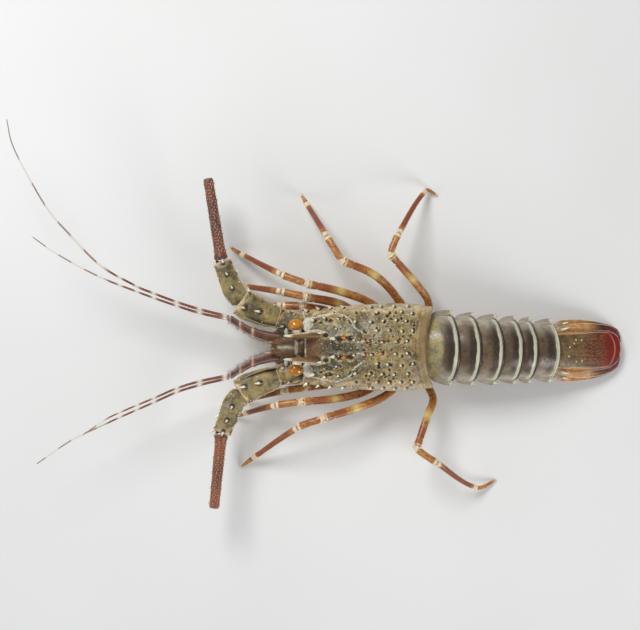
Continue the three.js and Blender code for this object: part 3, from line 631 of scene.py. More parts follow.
def spineMaterial(colours):
    # dark at the root and pale at the tip, which is orange where tint is high and duller where it is below 0
    material, tree, shader = newFinish("spines", 0.34, coat=0.2)
    reach = reckon(tree, "ADD", painted(tree, "along"), cloudy(tree, 0.0012, 0.3, 0.7, 0.0, 0.12))
    tip = layered(
        tree, colours["cream"],
        (remap(tree, painted(tree, "tint"), 0.5, 0.8), colours["orange"]),
        (remap(tree, painted(tree, "tint"), 0.0, -0.5), colours["faint"]),
    )
    colour = layered(tree, colours["root"], (remap(tree, reach, 0.32, 0.5), tip), ("pale", colours["cream"]))
    cover(tree, shader, colour, clouds(tree, 0.0008), 0.0001, 0.5)
    return material


grainColours = {"root": tone(98, 88, 60), "tip": tone(184, 172, 122)}
spinuleColours = {"root": tone(112, 64, 48), "tip": tone(214, 190, 160)}
knobColours = {"root": tone(150, 126, 88), "tip": tone(222, 196, 150)}


def grainMaterial(name, colours):
    # low grains and spinules, lighter towards the top
    material, tree, shader = newFinish(name, 0.4, coat=0.2)
    reach = reckon(tree, "ADD", painted(tree, "along"), cloudy(tree, 0.002, 0.3, 0.7, -0.25, 0.2))
    cover(tree, shader, blendIn(tree, reach, colours["root"], colours["tip"]))
    return material


tailColours = {
    "back": [tone(92, 74, 54), tone(126, 106, 76), tone(66, 48, 40)],
    "front": [tone(164, 150, 102), tone(124, 122, 96), tone(186, 170, 122)],
    "belly": [tone(192, 160, 110), tone(208, 184, 140), tone(168, 136, 90)],
    "flank": tone(184, 172, 152), "midline": tone(44, 31, 27), "pores": tone(116, 101, 80),
    "specks": tone(70, 56, 46), "darkBand": tone(46, 30, 25), "paleBand": tone(200, 198, 172),
}


def tailMaterial(colours):
    material, tree, shader = newFinish("tailShell", 0.36, coat=0.18, coatRoughness=0.22)
    base = mottled(tree, colours["back"], 0.008, 0.8)
    colour = layered(
        tree, base["Color"],
        (broken(tree, "side", 0.006, 0.35, 0.6, 0.35), colours["flank"]),
        ("dusk", colours["midline"]),
        ("yellow", patches(tree, colours["front"], 0.006)),
    )
    pores = freckled(tree, colour, colours["pores"], 0.00035, 0.3)
    specks = freckled(tree, pores["Color"], colours["specks"], 0.0006, 0.15)
    colour = layered(
        tree, specks["Color"],
        ("belly", patches(tree, colours["belly"], 0.01, 0.6)),
        ("dark", colours["darkBand"]),
        ("pale", colours["paleBand"]),
    )
    tree.links.new(remap(tree, base["Cloud"], 0.35, 0.65, 0.28, 0.45), shader.inputs["Roughness"])
    uneven = cloudy(tree, 0.0013, 0.3, 0.7, 0.4, 0.8)
    pits = reckon(tree, "SUBTRACT", uneven, times(tree, pores["Freckles"], 0.4))
    cover(tree, shader, colour, pits, 0.00015, 0.8)
    return material


fanColours = {
    "front": [tone(98, 78, 50), tone(128, 104, 68), tone(70, 50, 34)],
    "orange": [tone(186, 130, 72), tone(214, 168, 112), tone(148, 88, 42)],
    "red": [tone(84, 34, 16), tone(102, 40, 16), tone(66, 30, 18)],
    "rim": [tone(122, 18, 6), tone(142, 24, 4), tone(92, 18, 8)],
    "rose": [tone(186, 96, 66), tone(206, 130, 96), tone(164, 70, 46)],
    "rows": tone(182, 134, 80), "edge": tone(230, 212, 180),
}


def fanMaterial(colours):
    # olive in front and red at the rear, with fine rows of dashes
    material, tree, shader = newFinish("tailFan", 0.42, coat=0.1, coatRoughness=0.3, flesh=0.03)
    lanes = unclamped(tree, "SINE", unclamped(tree, "MULTIPLY", painted(tree, "lanes"), 95.0))
    ridge = remap(tree, lanes, 0.1, 0.9)
    breaks = cloudy(tree, 0.0011, 0.48, 0.56, detail=2.0)
    colour = layered(
        tree, patches(tree, colours["front"], 0.005),
        ("warm", patches(tree, colours["orange"], 0.004)),
        ("red", patches(tree, colours["red"], 0.006)),
        ("belly", patches(tree, colours["rose"], 0.005)),
        ("deep", patches(tree, colours["rim"], 0.007)),
        (times(tree, times(tree, ridge, breaks), painted(tree, "rows")), colours["rows"]),
        ("pale", colours["edge"]),
    )
    rows = times(tree, times(tree, ridge, painted(tree, "rows")), 0.5)
    height = reckon(tree, "ADD", times(tree, clouds(tree, 0.0015), 0.5), rows)
    cover(tree, shader, colour, height, 0.0002, 0.7)
    return material


legColours = {
    "orange": [tone(168, 106, 52), tone(196, 142, 82), tone(122, 68, 36)],
    "under": [tone(220, 174, 118), tone(238, 210, 166), tone(190, 134, 76)],
    "dusk": tone(124, 52, 34), "yellow": tone(212, 190, 118), "cream": tone(228, 210, 176),
    "dots": tone(118, 68, 36), "joint": tone(70, 44, 32),
}


def legMaterial(colours):
    material, tree, shader = newFinish("legShell", 0.34, coat=0.22, coatRoughness=0.2, flesh=0.08)
    # the cream follows the pale mask: real cream bands and lines, and along the legs' sides also a painted
    # highlight
    ragged = reckon(tree, "ADD", painted(tree, "pale"), cloudy(tree, 0.002, 0.3, 0.7, -0.18, 0.18))
    colour = layered(
        tree, patches(tree, colours["orange"], 0.006),
        ("dusk", colours["dusk"]),
        ("under", patches(tree, colours["under"], 0.005)),
        ("yellow", colours["yellow"]),
        (remap(tree, ragged, 0.35, 0.6), colours["cream"]),
    )
    dots = freckled(tree, colour, colours["dots"], 0.0007, 0.13)
    colour = layered(tree, dots["Color"], ("dark", colours["joint"]))
    cover(tree, shader, colour, clouds(tree, 0.0011), 0.00012, 0.6)
    return material


feelerColours = {
    "brown": [tone(92, 54, 42), tone(122, 74, 54), tone(64, 40, 34)], "orange": tone(158, 88, 48),
    "white": tone(226, 216, 202), "end": tone(56, 42, 38),
}


def feelerMaterial(colours):
    # antennae and antennules: red-brown with white bands
    material, tree, shader = newFinish("feelers", 0.45, coat=0.15)
    colour = layered(
        tree, patches(tree, colours["brown"], 0.004, 0.8),
        ("warm", colours["orange"]), ("pale", colours["white"]), ("dark", colours["end"]),
    )
    cover(tree, shader, colour, clouds(tree, 0.0009), 0.00012, 0.7)
    return material


bellyColours = {
    "tan": [tone(182, 150, 104), tone(212, 190, 146), tone(142, 104, 64)],
    "grey": [tone(112, 94, 76), tone(140, 114, 84), tone(76, 66, 60)], "dark": tone(48, 36, 30),
    "cream": tone(224, 214, 190),
}


def bellyMaterial(colours):
    # breastplate, mouth frame and mouth
    material, tree, shader = newFinish("undersideShell", 0.4, coat=0.25, flesh=0.15)
    colour = layered(
        tree, patches(tree, colours["tan"], 0.008),
        ("grey", patches(tree, colours["grey"], 0.006)),
        ("dark", colours["dark"]),
        ("pale", colours["cream"]),
    )
    cover(tree, shader, colour, clouds(tree, 0.0016), 0.0002, 0.6)
    return material


swimmeretColours = {
    "red": [tone(168, 70, 48), tone(192, 104, 74), tone(136, 52, 40)], "border": tone(232, 226, 208),
}


def swimmeretMaterial(colours):
    material, tree, shader = newFinish("swimmeretSkin", 0.42, coat=0.2, flesh=0.2)
    colour = layered(tree, patches(tree, colours["red"], 0.003), ("pale", colours["border"]))
    cover(tree, shader, colour, clouds(tree, 0.001), 0.0001, 0.6)
    return material


eyeColours = {
    "deep": tone(166, 98, 4), "amber": tone(222, 150, 14),
    "line": tone(70, 34, 6), "notch": tone(166, 128, 78),
}


def eyeMaterial(colours):
    # amber and glossy, with very fine facets
    material, tree, shader = newFinish("eyes", 0.12, coat=1.0, coatRoughness=0.04, flesh=0.35)
    colour = layered(
        tree, colours["deep"],
        (cloudy(tree, 0.007, 0.3, 0.7, detail=2.0), colours["amber"]),
        ("pale", colours["notch"]),
        ("dark", colours["line"]),
    )
    facets = put(tree, "TexVoronoi", {"Vector": objectPlace(tree), "Scale": 5200.0}).outputs["Distance"]
    cover(tree, shader, colour, facets, 0.00003, 0.35)
    return material


skinColours = {
    "skin": [tone(222, 218, 204), tone(200, 200, 190), tone(160, 142, 110)], "blue": tone(142, 152, 150),
}


def skinMaterial(colours):
    # the soft white skin at the joints
    material, tree, shader = newFinish("jointSkin", 0.5, coat=0.15, flesh=0.2)
    colour = layered(tree, patches(tree, colours["skin"], 0.003, 0.7), ("cool", colours["blue"]))
    cover(tree, shader, colour, clouds(tree, 0.0008), 0.0001, 0.5)
    return material


hairColours = {"root": tone(92, 84, 80), "tip": tone(200, 200, 204), "gold": tone(206, 166, 60)}


def hairMaterial(colours):
    material, tree, shader = newFinish("bristles", 0.5)
    cover(tree, shader, layered(tree, colours["root"], ("along", colours["tip"]), ("tint", colours["gold"])))
    return material


shellFinish, spineFinish = shellMaterial(shellColours), spineMaterial(spineColours)
grainFinish = grainMaterial("granules", grainColours)
spinuleFinish = grainMaterial("spinules", spinuleColours)
knobFinish = grainMaterial("knobs", knobColours)
tailFinish, fanFinish = tailMaterial(tailColours), fanMaterial(fanColours)
legFinish, feelerFinish = legMaterial(legColours), feelerMaterial(feelerColours)
bellyFinish, swimmeretFinish = bellyMaterial(bellyColours), swimmeretMaterial(swimmeretColours)
eyeFinish, skinFinish = eyeMaterial(eyeColours), skinMaterial(skinColours)
hairFinish = hairMaterial(hairColours)
print("materials are ready")


# Carapace

carapaceShape = {
    "front": -71.5, "back": -0.7, "middle": 28.0, "under": 16.6,
    "width": [(-73, 21.5), (-62, 23.2), (-45, 24.8), (-25, 26), (-8, 25.8), (5, 24.2)],
    "top": [(-73, 40.5), (-62, 44.6), (-50, 47), (-38, 48.2), (-28, 49.8), (-14, 49.6), (-4, 47.5), (5, 44)],
    # where the groove lies, by degrees from the top
    "groove": [(0, -37.5), (20, -38.2), (36, -44), (56, -54), (90, -62), (180, -66)],
    "grooveDepth": 1.1, "eyeNotch": 4.6, "lip": 0.02, "across": 260, "along": 200,
    "rough": (3.0, 0.5), "fine": (0.9, 0.22),
}
paleLines = [
    [(-68.5, 17), (-62, 18.8), (-56.5, 19.8), (-52.7, 20.2), (-48, 18.4), (-44.4, 16.2), (-42.2, 12),
     (-39, 9.6), (-36.5, 7.8)],
    [(-40.5, 3.4), (-36.5, 2.9)], [(-70.5, 9.6), (-64, 10.2), (-60, 9)],
]
darkSpots = [  # x, y, radius and how much longer than wide
    (-57.2, 15.8, 1.2, 2.1), (-51.5, 17, 1, 1.2), (-44.1, 15.6, 1.7, 1), (-59.3, 7.3, 1.3, 1.3),
    (-51, 5.3, 1.7, 1.2), (-44.8, 5.6, 1.6, 1.2), (-50.5, 11, 0.8, 1), (-41, 20.5, 1, 1),
    (-62, 14.6, 0.8, 1.3),
]
scatteredSpots = {"count": 95, "x": (-37, -7), "y": (-24, 24), "radius": (0.45, 1.0)}


def carapaceAt(x, angle, grow=0.0):
    roof = np.sin(angle) >= 0
    across, over = superellipse(angle, np.where(roof, 2.3, 3.4))
    middle = carapaceShape["middle"]
    high = np.where(roof, smooth(carapaceShape["top"], x) - middle, middle - carapaceShape["under"])
    return x, (smooth(carapaceShape["width"], x) + grow) * across, middle + (high + grow) * over


def carapaceEnds(angle):
    # the front and back edge, by the angle round the body
    fromTop = abs(90 - np.degrees(angle))
    notch = np.where(angle < math.pi, carapaceShape["eyeNotch"] * bump(fromTop, 35, 12), 0)
    front = carapaceShape["front"] - 1.5 * np.cos(angle) ** 2 + notch
    roof = np.sin(angle) >= 0
    back = carapaceShape["back"] + np.where(roof, 5.2 * np.cos(angle) ** 2, 5.2 - 7 * np.sin(angle) ** 2)
    return front, back


def carapacePlace(around, lengthwise):
    angle = around * 2 * math.pi
    lip = carapaceShape["lip"]
    front, back = carapaceEnds(angle)
    x = mixed(back, front, np.clip((lengthwise - lip) / (1 - 2 * lip), 0, 1))
    folded = np.clip(1 - lengthwise / lip, 0, 1) + np.clip(1 - (1 - lengthwise) / lip, 0, 1)
    fromTop = np.minimum(abs(90 - np.degrees(angle)), 180)
    behind = back - x
    y = carapaceAt(x, angle)[1]
    swell = -carapaceShape["grooveDepth"] * bump(x, smooth(carapaceShape["groove"], fromTop), 1.4)
    swell += 0.25 * bump(behind, 0.9, 0.8) - 0.45 * bump(behind, 5.4, 0.5) - 0.2 * bump(behind, 2.9, 0.35)
    swell += (0.5 * bump(abs(y), 6.5, 2.5) - 0.5 * bump(y, 0, 2.6)) * bump(x, -52, 10)
    swell += 1.5 * bump(abs(y), 7.7, 2.3) * bump(x, -61.5, 3.6)
    return carapaceAt(x, angle, swell - 2.2 * folded)


def onCarapace(x, y):
    # the place on the back or flank above x and y, and the way that it faces
    share = min(abs(y) / float(smooth(carapaceShape["width"], x)), 0.995)
    angle = math.acos(share ** (2.3 / 2))
    angle = math.pi - angle if y < 0 else angle
    place, ahead, around = [Vector([float(v) for v in carapaceAt(x + past, angle + turn)])
                            for past, turn in ((0, 0), (0.5, 0), (0, 0.02))]
    return place, (around - place).cross(ahead - place).normalized()


headSpines = [  # x, y, length, radius and how orange the tip is, each also on the other side
    (-61.6, 8.3, 4, 1.4, 0.2), (-54, 5.3, 4.8, 1.6, 0.3), (-47.8, 5.7, 4.2, 1.5, 0.8),
    (-42.4, 4.4, 2.2, 1, 0.3), (-36.6, 3.9, 3.4, 1.4, 0.7), (-66, 15.6, 4.8, 1.5, 0.4),
    (-59.5, 17.2, 2.8, 1.2, 0.2), (-51.5, 16.6, 2.2, 1, 0.2), (-70, 21, 3.8, 1.4, 0.1),
    (-63, 22.2, 3.2, 1.2, 0.1), (-56, 22.9, 3, 1.2, 0.1), (-48.5, 23.3, 2.8, 1.1, 0.1),
    (-52.8, 11, 1.8, 0.9, 0.3), (-41.6, 15, 2.6, 1.2, 0.2),
]
backRows = {
    # each row's share of the half width, and the length of its spines
    "rows": [(0.14, 2.15), (0.38, 2.3), (0.6, 2.3), (0.78, 2.2), (0.93, 2.3)],
    "start": -33, "end": -6, "step": 7.2, "offset": 3.2, "shrink": 0.45, "radius": 1.1,
    "near": 8, "tints": (0.1, 0.3, 0.6, 0.8), "farTints": (0, 0.62),
}
smallSpines = {"count": 230, "x": (-66, -8), "y": (-24.5, 24.5), "gap": 1.6, "length": (0.6, 1.4),
               "radius": (0.32, 0.58), "tints": (-0.5, -0.4, -0.25, 0, 0.6)}
granules = {"count": 1500, "x": (-69, -7), "y": (-25, 25), "height": (0.16, 0.34), "radius": (0.16, 0.36),
            "lean": 0.3}


def backRowSpines():
    # the same rows as the solids', from the same repeatable numbers
    state = 7

    def chance():
        nonlocal state
        state = state * 16807 % 2147483647
        return state / 2147483647

    for side in (1, -1):
        for row, (share, length) in enumerate(backRows["rows"]):
            x = backRows["start"] + (row % 2) * backRows["offset"]
            while x < backRows["end"]:
                place = x + (chance() - 0.5) * 2
                y = side * (share + (chance() - 0.5) * 0.05) * float(smooth(carapaceShape["width"], place))
                past = (place - backRows["start"]) / (backRows["end"] - backRows["start"])
                yield place, y, length * (1 - backRows["shrink"] * past), backRows["radius"]
                x += backRows["step"]


def leaning(x, y, length, radius, tint, lean=0.85):
    place, outward = onCarapace(x, y)
    return place, Vector((-lean, 0, 0)) + outward, length, radius, tint


def carapace():
    shell = drawOut("carapace_shell", carapaceShape["across"], carapaceShape["along"], carapacePlace)
    large = onSide(1, headSpines) + onSide(-1, headSpines)
    rows = [(*spot, random.choice(backRows["tints"]) if abs(spot[1]) < backRows["near"]
             else random.uniform(*backRows["farTints"])) for spot in backRowSpines()]
    roots = [leaning(*spot) for spot in large + rows]
    for _ in range(smallSpines["count"]):
        x, y = drawn(smallSpines, "x", "y")
        if min(math.hypot(x - spot[0], y - spot[1]) for spot in large + rows) > smallSpines["gap"]:
            size = drawn(smallSpines, "length", "radius")
            roots.append(leaning(x, y, *size, random.choice(smallSpines["tints"])))
    spines = spread("carapace_spines", spineModel, roots)
    grains = []
    for _ in range(granules["count"]):
        grains.append(leaning(*drawn(granules, "x", "y", "height", "radius"), 0, granules["lean"]))
    grains = spread("carapace_granules", granuleModel, grains)

    spots = places(shell)
    x, y = spots[:, 0], spots[:, 1]
    roof = step(spots[:, 2], 24, 30)
    angle = turnOf(shell)
    behind = carapaceEnds(angle)[1] - x
    dark, halo = np.zeros(len(x)), np.zeros(len(x))

    def mark(spotX, spotY, radius, longer=1.0):
        near = np.hypot((x - spotX) / longer, y - spotY) + 50 * (1 - roof)
        dark[:] = np.maximum(dark, until(near, radius * 0.75, radius * 1.15))
        ringed = step(near, radius * 0.9, radius * 1.2) * until(near, radius * 1.5, radius * 2.2)
        halo[:] = np.maximum(halo, ringed)

    for spotX, spotY, radius, longer in darkSpots:
        mark(spotX, spotY, radius, longer)
        mark(spotX, -spotY, radius, longer)
    for spotX, spotY, _, radius, _ in rows:
        mark(spotX + 0.8, spotY, radius * 1.05)
    for _ in range(scatteredSpots["count"]):
        mark(*drawn(scatteredSpots, "x", "y", "radius"))
    pale = np.zeros(len(x))
    for path in paleLines:
        pale = np.maximum(pale, until(distanceTo(path, x, abs(y)), 0.18, 0.7))
    front = carapaceEnds(angle)[0]
    pale = np.maximum(pale, 0.7 * until(x - front, 0.3, 1.1))
    pale = np.maximum(pale, 0.35 * bump(abs(y), 23.5, 2.2) * step(spots[:, 2], 30, 34))
    writeMasks(shell, pale=pale * roof, dark=dark, halo=halo * (1 - dark))
    # the flanks and the underside get the orange patches, whose colour is lifted above the real orange as a
    # painted highlight of light from the side
    flank = step(abs(y) + 2 * bump(x, -60, 10), 17, 22)
    writeMasks(
        shell,
        warm=np.maximum(flank, 1 - roof) + 0.3 * step(x, -42, -36) * roof,
        cool=np.clip(0.35 + 0.5 * flank + 0.4 * bump(x, -45, 12), 0, 1) * roof,
    )
    middle = bump(x, -52.5, 4.2) * bump(y, 1.2, 4.2) + 1.2 * bump(x, -68.6, 1.9) * bump(y, 0, 2.6)
    wander = 0.8 * np.sin(x * 1.3) + 0.6 * np.sin(y * 1.7)
    soft = 0.5 * until(np.hypot((x + 53) / 1.3, y) + wander, 5, 10)
    writeMasks(
        shell,
        dusk=np.clip(np.maximum(middle * 1.3, soft), 0, 0.95) * roof,
        brown=until(abs(y), 8, 12) * until(x + wander, -63, -58) * 0.75 * roof,
    )
    ripple = 0.5 * np.sin(angle * 23) + 0.4 * np.sin(angle * 41)
    stripes = 0.35 * bump(behind, 5.4, 0.4) + 0.3 * bump(behind, 2.9, 0.35)
    writeMasks(
        shell,
        rear=0.8 * until(behind + ripple, 3.6, 5.6) * roof,
        smoothness=0.55 * until(behind, 4.2, 6.0),
        brown=np.maximum(readMask(shell, "brown"), stripes * roof),
    )
    roughen(shell, *carapaceShape["rough"])
    roughen(shell, *carapaceShape["fine"])
    dress("carapace", "shell", (shell, shellFinish), (spines, spineFinish), (grains, grainFinish))


hornShape = {
    "stations": [(-56, 7.8, 40, 1.2, 1.6), (-61, 7.8, 41.9, 1.9, 2.4), (-65, 7.5, 43.9, 2.5, 2.8),
                 (-71, 7.2, 47, 1.9, 2.3), (-77, 7, 48.6, 1.3, 1.6), (-81.5, 6.9, 49, 0.75, 0.9),
                 (-84.2, 6.9, 48.9, 0.15, 0.15)],
    "across": 28, "along": 70, "paleFrom": 0.8, "rough": (1.2, 0.08),
}


def horns():
    for letter, side in sides.items():
        horn = tube("horn_" + letter, onSide(side, hornShape["stations"]),
                    hornShape["across"], hornShape["along"], 2.0, rounding=(0.12, 0.02))
        angle, along = turnOf(horn), readMask(horn, "along")
        outer = step(side * np.cos(angle), 0.45, 0.8)
        tip = step(along, hornShape["paleFrom"], hornShape["paleFrom"] + 0.1)
        writeMasks(
            horn,
            pale=np.maximum(outer * 0.85 * step(along, 0.2, 0.35), tip),
            brown=(1 - tip) * (0.2 + 0.55 * step(along, 0.25, 0.5)),
            warm=0.8 * step(along, 0.4, 0.7),
            smoothness=0.8,
        )
        roughen(horn, *hornShape["rough"])
        setDown(horn, "carapace", shellFinish)


carapace()
horns()
print("the carapace is done")


# Eyes and the plate between the antennae

eyeShape = {"centre": (-76.9, 12.9, 37.8), "size": (4.7, 4.1, 4.3), "notch": 1.5}
eyeStalk = [(-75, 4.4, 36.2, 1.7, 1.5), (-75.5, 7, 37, 2.1, 1.9), (-76, 9.4, 37.5, 2.8, 2.6),
            (-76.5, 11.4, 37.7, 3.4, 3.1)]
skinRough = (1.2, 0.4)
jointSkins = {  # place, size, how blue, and the node that it stands for
    "eye_socket_skin": ((-69.4, 13.2, 37.6), (3.6, 4.6, 2), 0, "carapace"),
    "antennule_collar": ((-82.5, 8.7, 34.4), (1.3, 2.7, 1.1), 0.7, "antennular_plate"),
}


def eyes():
    for letter, side in sides.items():
        x, y, z = eyeShape["centre"]
        cornea = ball("eye_ball_" + letter, 56, 36)
        spots = places(cornea)
        inner = -side * spots[:, 1]
        size = 1 - 0.16 * step(inner, 0.35, 1.0) * bump(spots[:, 0], 0.1, 0.7)
        spots = spots * size[:, None] * np.array(eyeShape["size"]) + np.array((x, side * y, z))
        moveTo(cornea, spots)
        inner = y - side * spots[:, 1]
        edge = inner - eyeShape["notch"] - 0.9 * np.cos((spots[:, 0] - x) * 0.9)
        writeMasks(cornea, pale=step(edge, 0.0, 0.35), dark=bump(edge, 0.0, 0.26))
        setDown(cornea, "eye_" + letter, eyeFinish)
        stalk = tube("eye_stalk_" + letter, onSide(side, eyeStalk), 28, 30, 2.0, rounding=(0.05, 0.08))
        along = readMask(stalk, "along")
        writeMasks(stalk, pale=0.7 * step(along, 0.6, 0.8), dark=0.8 * until(along, 0.35, 0.55))
        setDown(stalk, "eye_" + letter, bellyFinish)
        for name, ((x, y, z), size, blue, node) in jointSkins.items():
            skin = ball(f"{name}_{letter}", 32, 18)
            stretchTo(skin, size, (x, side * y, z))
            writeMask(skin, "cool", blue)
            roughen(skin, *skinRough)
            setDown(skin, node, skinFinish)


plateShape = {
    "block": [(-72.4, 0, 27, 5.6, 5.6), (-79, 0, 27.4, 5.2, 5.2), (-84.6, 0, 28, 3.6, 4.6)],
    "shield": [(-72.8, 0, 33.6, 5.2, 1.6), (-79, 0, 34.6, 6, 1.7), (-86, 0, 35, 5.7, 1.5),
               (-89.6, 0, 35.4, 4.6, 1.2), (-91.4, 0, 35.6, 3.2, 0.8)],
    "neck": [(-76, 0, 29, 4.2, 4), (-77.6, 0, 34, 4.4, 4)],
    "spine": (-88, 2.9, 35.6, 8, 1.85), "bridge": ((4.2, 5.6, 3.2), (-72.6, 0, 35.4)),
    "rough": (1.5, 0.4),
}


def antennularPlate():
    def relief(angle, lengthwise):
        # a shallow trough along the middle
        return -0.5 * bump(angle, math.pi / 2, 0.25) * step(lengthwise, 0.1, 0.3)

    shield = tube("antennular_plate", plateShape["shield"], 60, 60, 3.0, relief, (0.02, 0.12))
    spots = places(shield)
    x, y = spots[:, 0], spots[:, 1]
    wander = 0.7 * np.sin(x * 0.9) + 0.3 * np.sin(x * 2.1)
    streak = bump(y - 0.3 * wander, 0, 0.9) * step(x, -88.5, -87) * until(x, -76.2, -75.2)
    front = bump(x, -76.6, 0.8) * until(abs(y), 3.4, 4.8)
    writeMasks(
        shield,
        pale=np.maximum(0.55 * streak, 0.6 * front),
        dusk=0.85,
        brown=0.4 + 0.3 * step(abs(y), 3.5, 5.5),
    )
    roughen(shield, *plateShape["rough"])
    block = tube("antennular_block", plateShape["block"], 32, 24, 4.0, rounding=(0.05, 0.1))
    neck = tube("antennular_neck", plateShape["neck"], 24, 12, 4.0)
    for piece in (block, neck):
        writeMasks(piece, dusk=0.6, brown=0.6)
    x, y, z, length, radius = plateShape["spine"]
    spines = spread("antennular_spines", spineModel,
                    [(Vector((x, side * y, z)), Vector((-1, side * 0.02, 0.36)), length, radius, 0.62)
                     for side in (1, -1)])
    along = readMask(spines, "along")
    tip = step(along, 0.5, 0.75)
    writeMasks(spines, brown=0.75 * (1 - tip), warm=tip, pale=0.8 * step(along, 0.8, 0.95), smoothness=1)
    bridge = ball("eye_bridge", 32, 16)
    stretchTo(bridge, *plateShape["bridge"])
    x, y = places(bridge)[:, 0], places(bridge)[:, 1]
    writeMasks(bridge, dusk=0.8, brown=0.85 * bump(y, 0, 2.4), pale=0.6 * bump(x, -76.2, 0.5), smoothness=1)
    for piece in (shield, block, neck, bridge, spines):
        setDown(piece, "antennular_plate", shellFinish)


eyes()
antennularPlate()
print("the eyes and the plate between the antennae are done")


# Antennae

antennaShape = {
    "base": {
        "stations": [(-72.6, 13.6, 26.2, 6, 5.2), (-78, 14.4, 26.4, 6.4, 5.8), (-84, 16, 26.9, 6.2, 5.6),
                     (-88.4, 17.4, 27.2, 5.6, 5)],
        "spines": [(-80, 19.4, 29, (-0.6, 0.7, 0.5), 3.6, 1.3), (-85, 20.8, 29, (-0.7, 0.6, 0.4), 4, 1.3),
                   (-84, 12.6, 31, (-0.9, -0.1, 0.5), 2.8, 1.1)],
    },
    "middle": {
        "stations": [(-86.4, 17, 27.3, 4.6, 4.2), (-88.6, 17.7, 27.5, 5.9, 5), (-91.5, 18.8, 27.8, 6.8, 5.4),
                     (-99, 21.4, 28.6, 7.6, 5.6), (-106, 24.6, 29.2, 8.2, 5.8),
                     (-110.6, 27.6, 29.6, 7.4, 5.4)],
        "spines": [(-98.2, 21.2, 33.8, (-0.9, 0.1, 0.6), 4.4, 1.3),
                   (-107, 23.4, 34.4, (-0.9, 0.1, 0.6), 4.4, 1.3), (-92, 25, 29.6, (-0.8, 0.6, 0.2), 2.6, 1),
                   (-97.5, 27.6, 30, (-0.8, 0.6, 0.2), 2.8, 1.1),
                   (-101.5, 29.8, 30.4, (-0.8, 0.6, 0.2), 3, 1.1),
                   (-104.6, 32, 30.6, (-0.25, 0.95, 0.1), 4.4, 1.5),
                   (-104, 18, 31.4, (-0.9, -0.3, 0.4), 2.6, 1)],
    },
    "end": {
        "stations": [(-109.2, 26.6, 29.7, 4.6, 4), (-111, 29.4, 29.9, 5.8, 4.8), (-114.2, 34, 30.2, 6, 5),
                     (-117, 41, 30.6, 5.6, 4.8), (-119.6, 47.6, 31, 5.2, 4.6), (-121.2, 51.6, 31.2, 5, 4.4)],
        "spines": [(-118.6, 33, 30.6, (-0.85, 0.4, 0.2), 5.4, 1.5),
                   (-120.8, 39.6, 31, (-0.85, 0.45, 0.2), 6, 1.6),
                   (-123.2, 47.6, 31.4, (-0.85, 0.55, 0.2), 7, 1.7),
                   (-123.8, 50.6, 29, (-0.7, 0.7, -0.2), 4, 1.3),
                   (-109.6, 37.6, 31, (0.5, 0.75, 0.2), 2.4, 1),
                   (-112.4, 44.4, 31.6, (0.5, 0.75, 0.2), 2.4, 1),
                   (-116, 50.6, 31.8, (0.3, 0.9, 0.2), 4, 1.3), (-114.6, 35, 34.8, (-0.3, 0.6, 0.7), 3, 1.1),
                   (-117.6, 43, 35, (-0.3, 0.6, 0.7), 3, 1.1), (-120, 50, 35, (-0.2, 0.8, 0.5), 3.4, 1.1)],
    },
}
stalkDetail = {
    "across": 64, "along": 72, "power": 2.5, "rim": 0.35, "rough": (1.4, 0.35), "spineTint": (0.2, 0.62),
    "denticles": 16, "rows": (6, 56), "aside": (-0.9, 0.9), "length": (0.7, 1.5), "radius": (0.4, 0.65),
    "tint": (0, 0.7),
}


def stalkRelief(angle, lengthwise):
    # a raised rim at the far end, and a keel along the outer and inner edges
    keel = 0.35 * (bump(np.cos(angle), 1, 0.12) + bump(np.cos(angle), -1, 0.12))
    return stalkDetail["rim"] * (bump(lengthwise, 0.955, 0.03) - bump(lengthwise, 0.89, 0.02)) + keel


def antennaStalks():
    for letter, side in sides.items():
        for name, shape in antennaShape.items():
            node = f"antenna_{name}_{letter}"
            stations = onSide(side, shape["stations"])
            stalk = tube(node + "_shell", stations, stalkDetail["across"], stalkDetail["along"],
                         stalkDetail["power"], stalkRelief, (0.05, 0.05))
            spots = places(stalk)
            angle, along = turnOf(stalk), readMask(stalk, "along")
            dark = np.zeros(len(spots))
            roots = []
            for x, y, z, (dx, dy, dz), length, radius in shape["spines"]:
                root = Vector((x, side * y, z))
                tint = random.uniform(*stalkDetail["spineTint"])
                roots.append((root, Vector((dx, side * dy, dz)), length, radius, tint))
                near = np.linalg.norm(spots - np.array(root), axis=1)
                dark = np.maximum(dark, until(near, radius * 1.25, radius * 1.9))
            surface = surfaceOf(stations, stalkDetail["power"])
            for _ in range(stalkDetail["denticles"]):
                i = random.randrange(*stalkDetail["rows"])
                turn = random.choice((0, math.pi)) + random.uniform(*stalkDetail["aside"])
                place, outward, ahead = surface(i, turn)
                roots.append((place, outward + ahead, *drawn(stalkDetail, "length", "radius", "tint")))
            outer = side * np.cos(angle)
            writeMasks(
                stalk,
                dark=dark * 0.9,
                warm=np.clip(step(along, 0.84, 0.93) + 0.7 * step(abs(outer), 0.8, 0.97), 0, 1),
                cool=0.3,
                stalk=1,
                under=0.9 * step(-np.sin(angle), 0.0, 0.7),
            )
            edges = 0.75 * step(outer, 0.93, 0.99) + 0.5 * step(-outer, 0.95, 0.995)
            writeMask(stalk, "pale", np.maximum(edges * (1 - dark), 0.5 * bump(along, 0.97, 0.02)))
            roughen(stalk, *stalkDetail["rough"])
            spines = spread(node + "_spines", spineModel, roots)
            dress(node, "shell", (stalk, shellFinish), (spines, spineFinish))


flange = {
    "line": [(-84, 11.4, 31), (-90, 12.2, 32.4), (-97, 13.8, 33.4), (-104, 16.4, 33.6), (-108, 18.6, 32.8)],
    "thick": 0.35, "tall": [(0, 0.5), (0.25, 1.6), (0.6, 1.9), (0.9, 1.2), (1, 0.4)], "rows": 41,
}


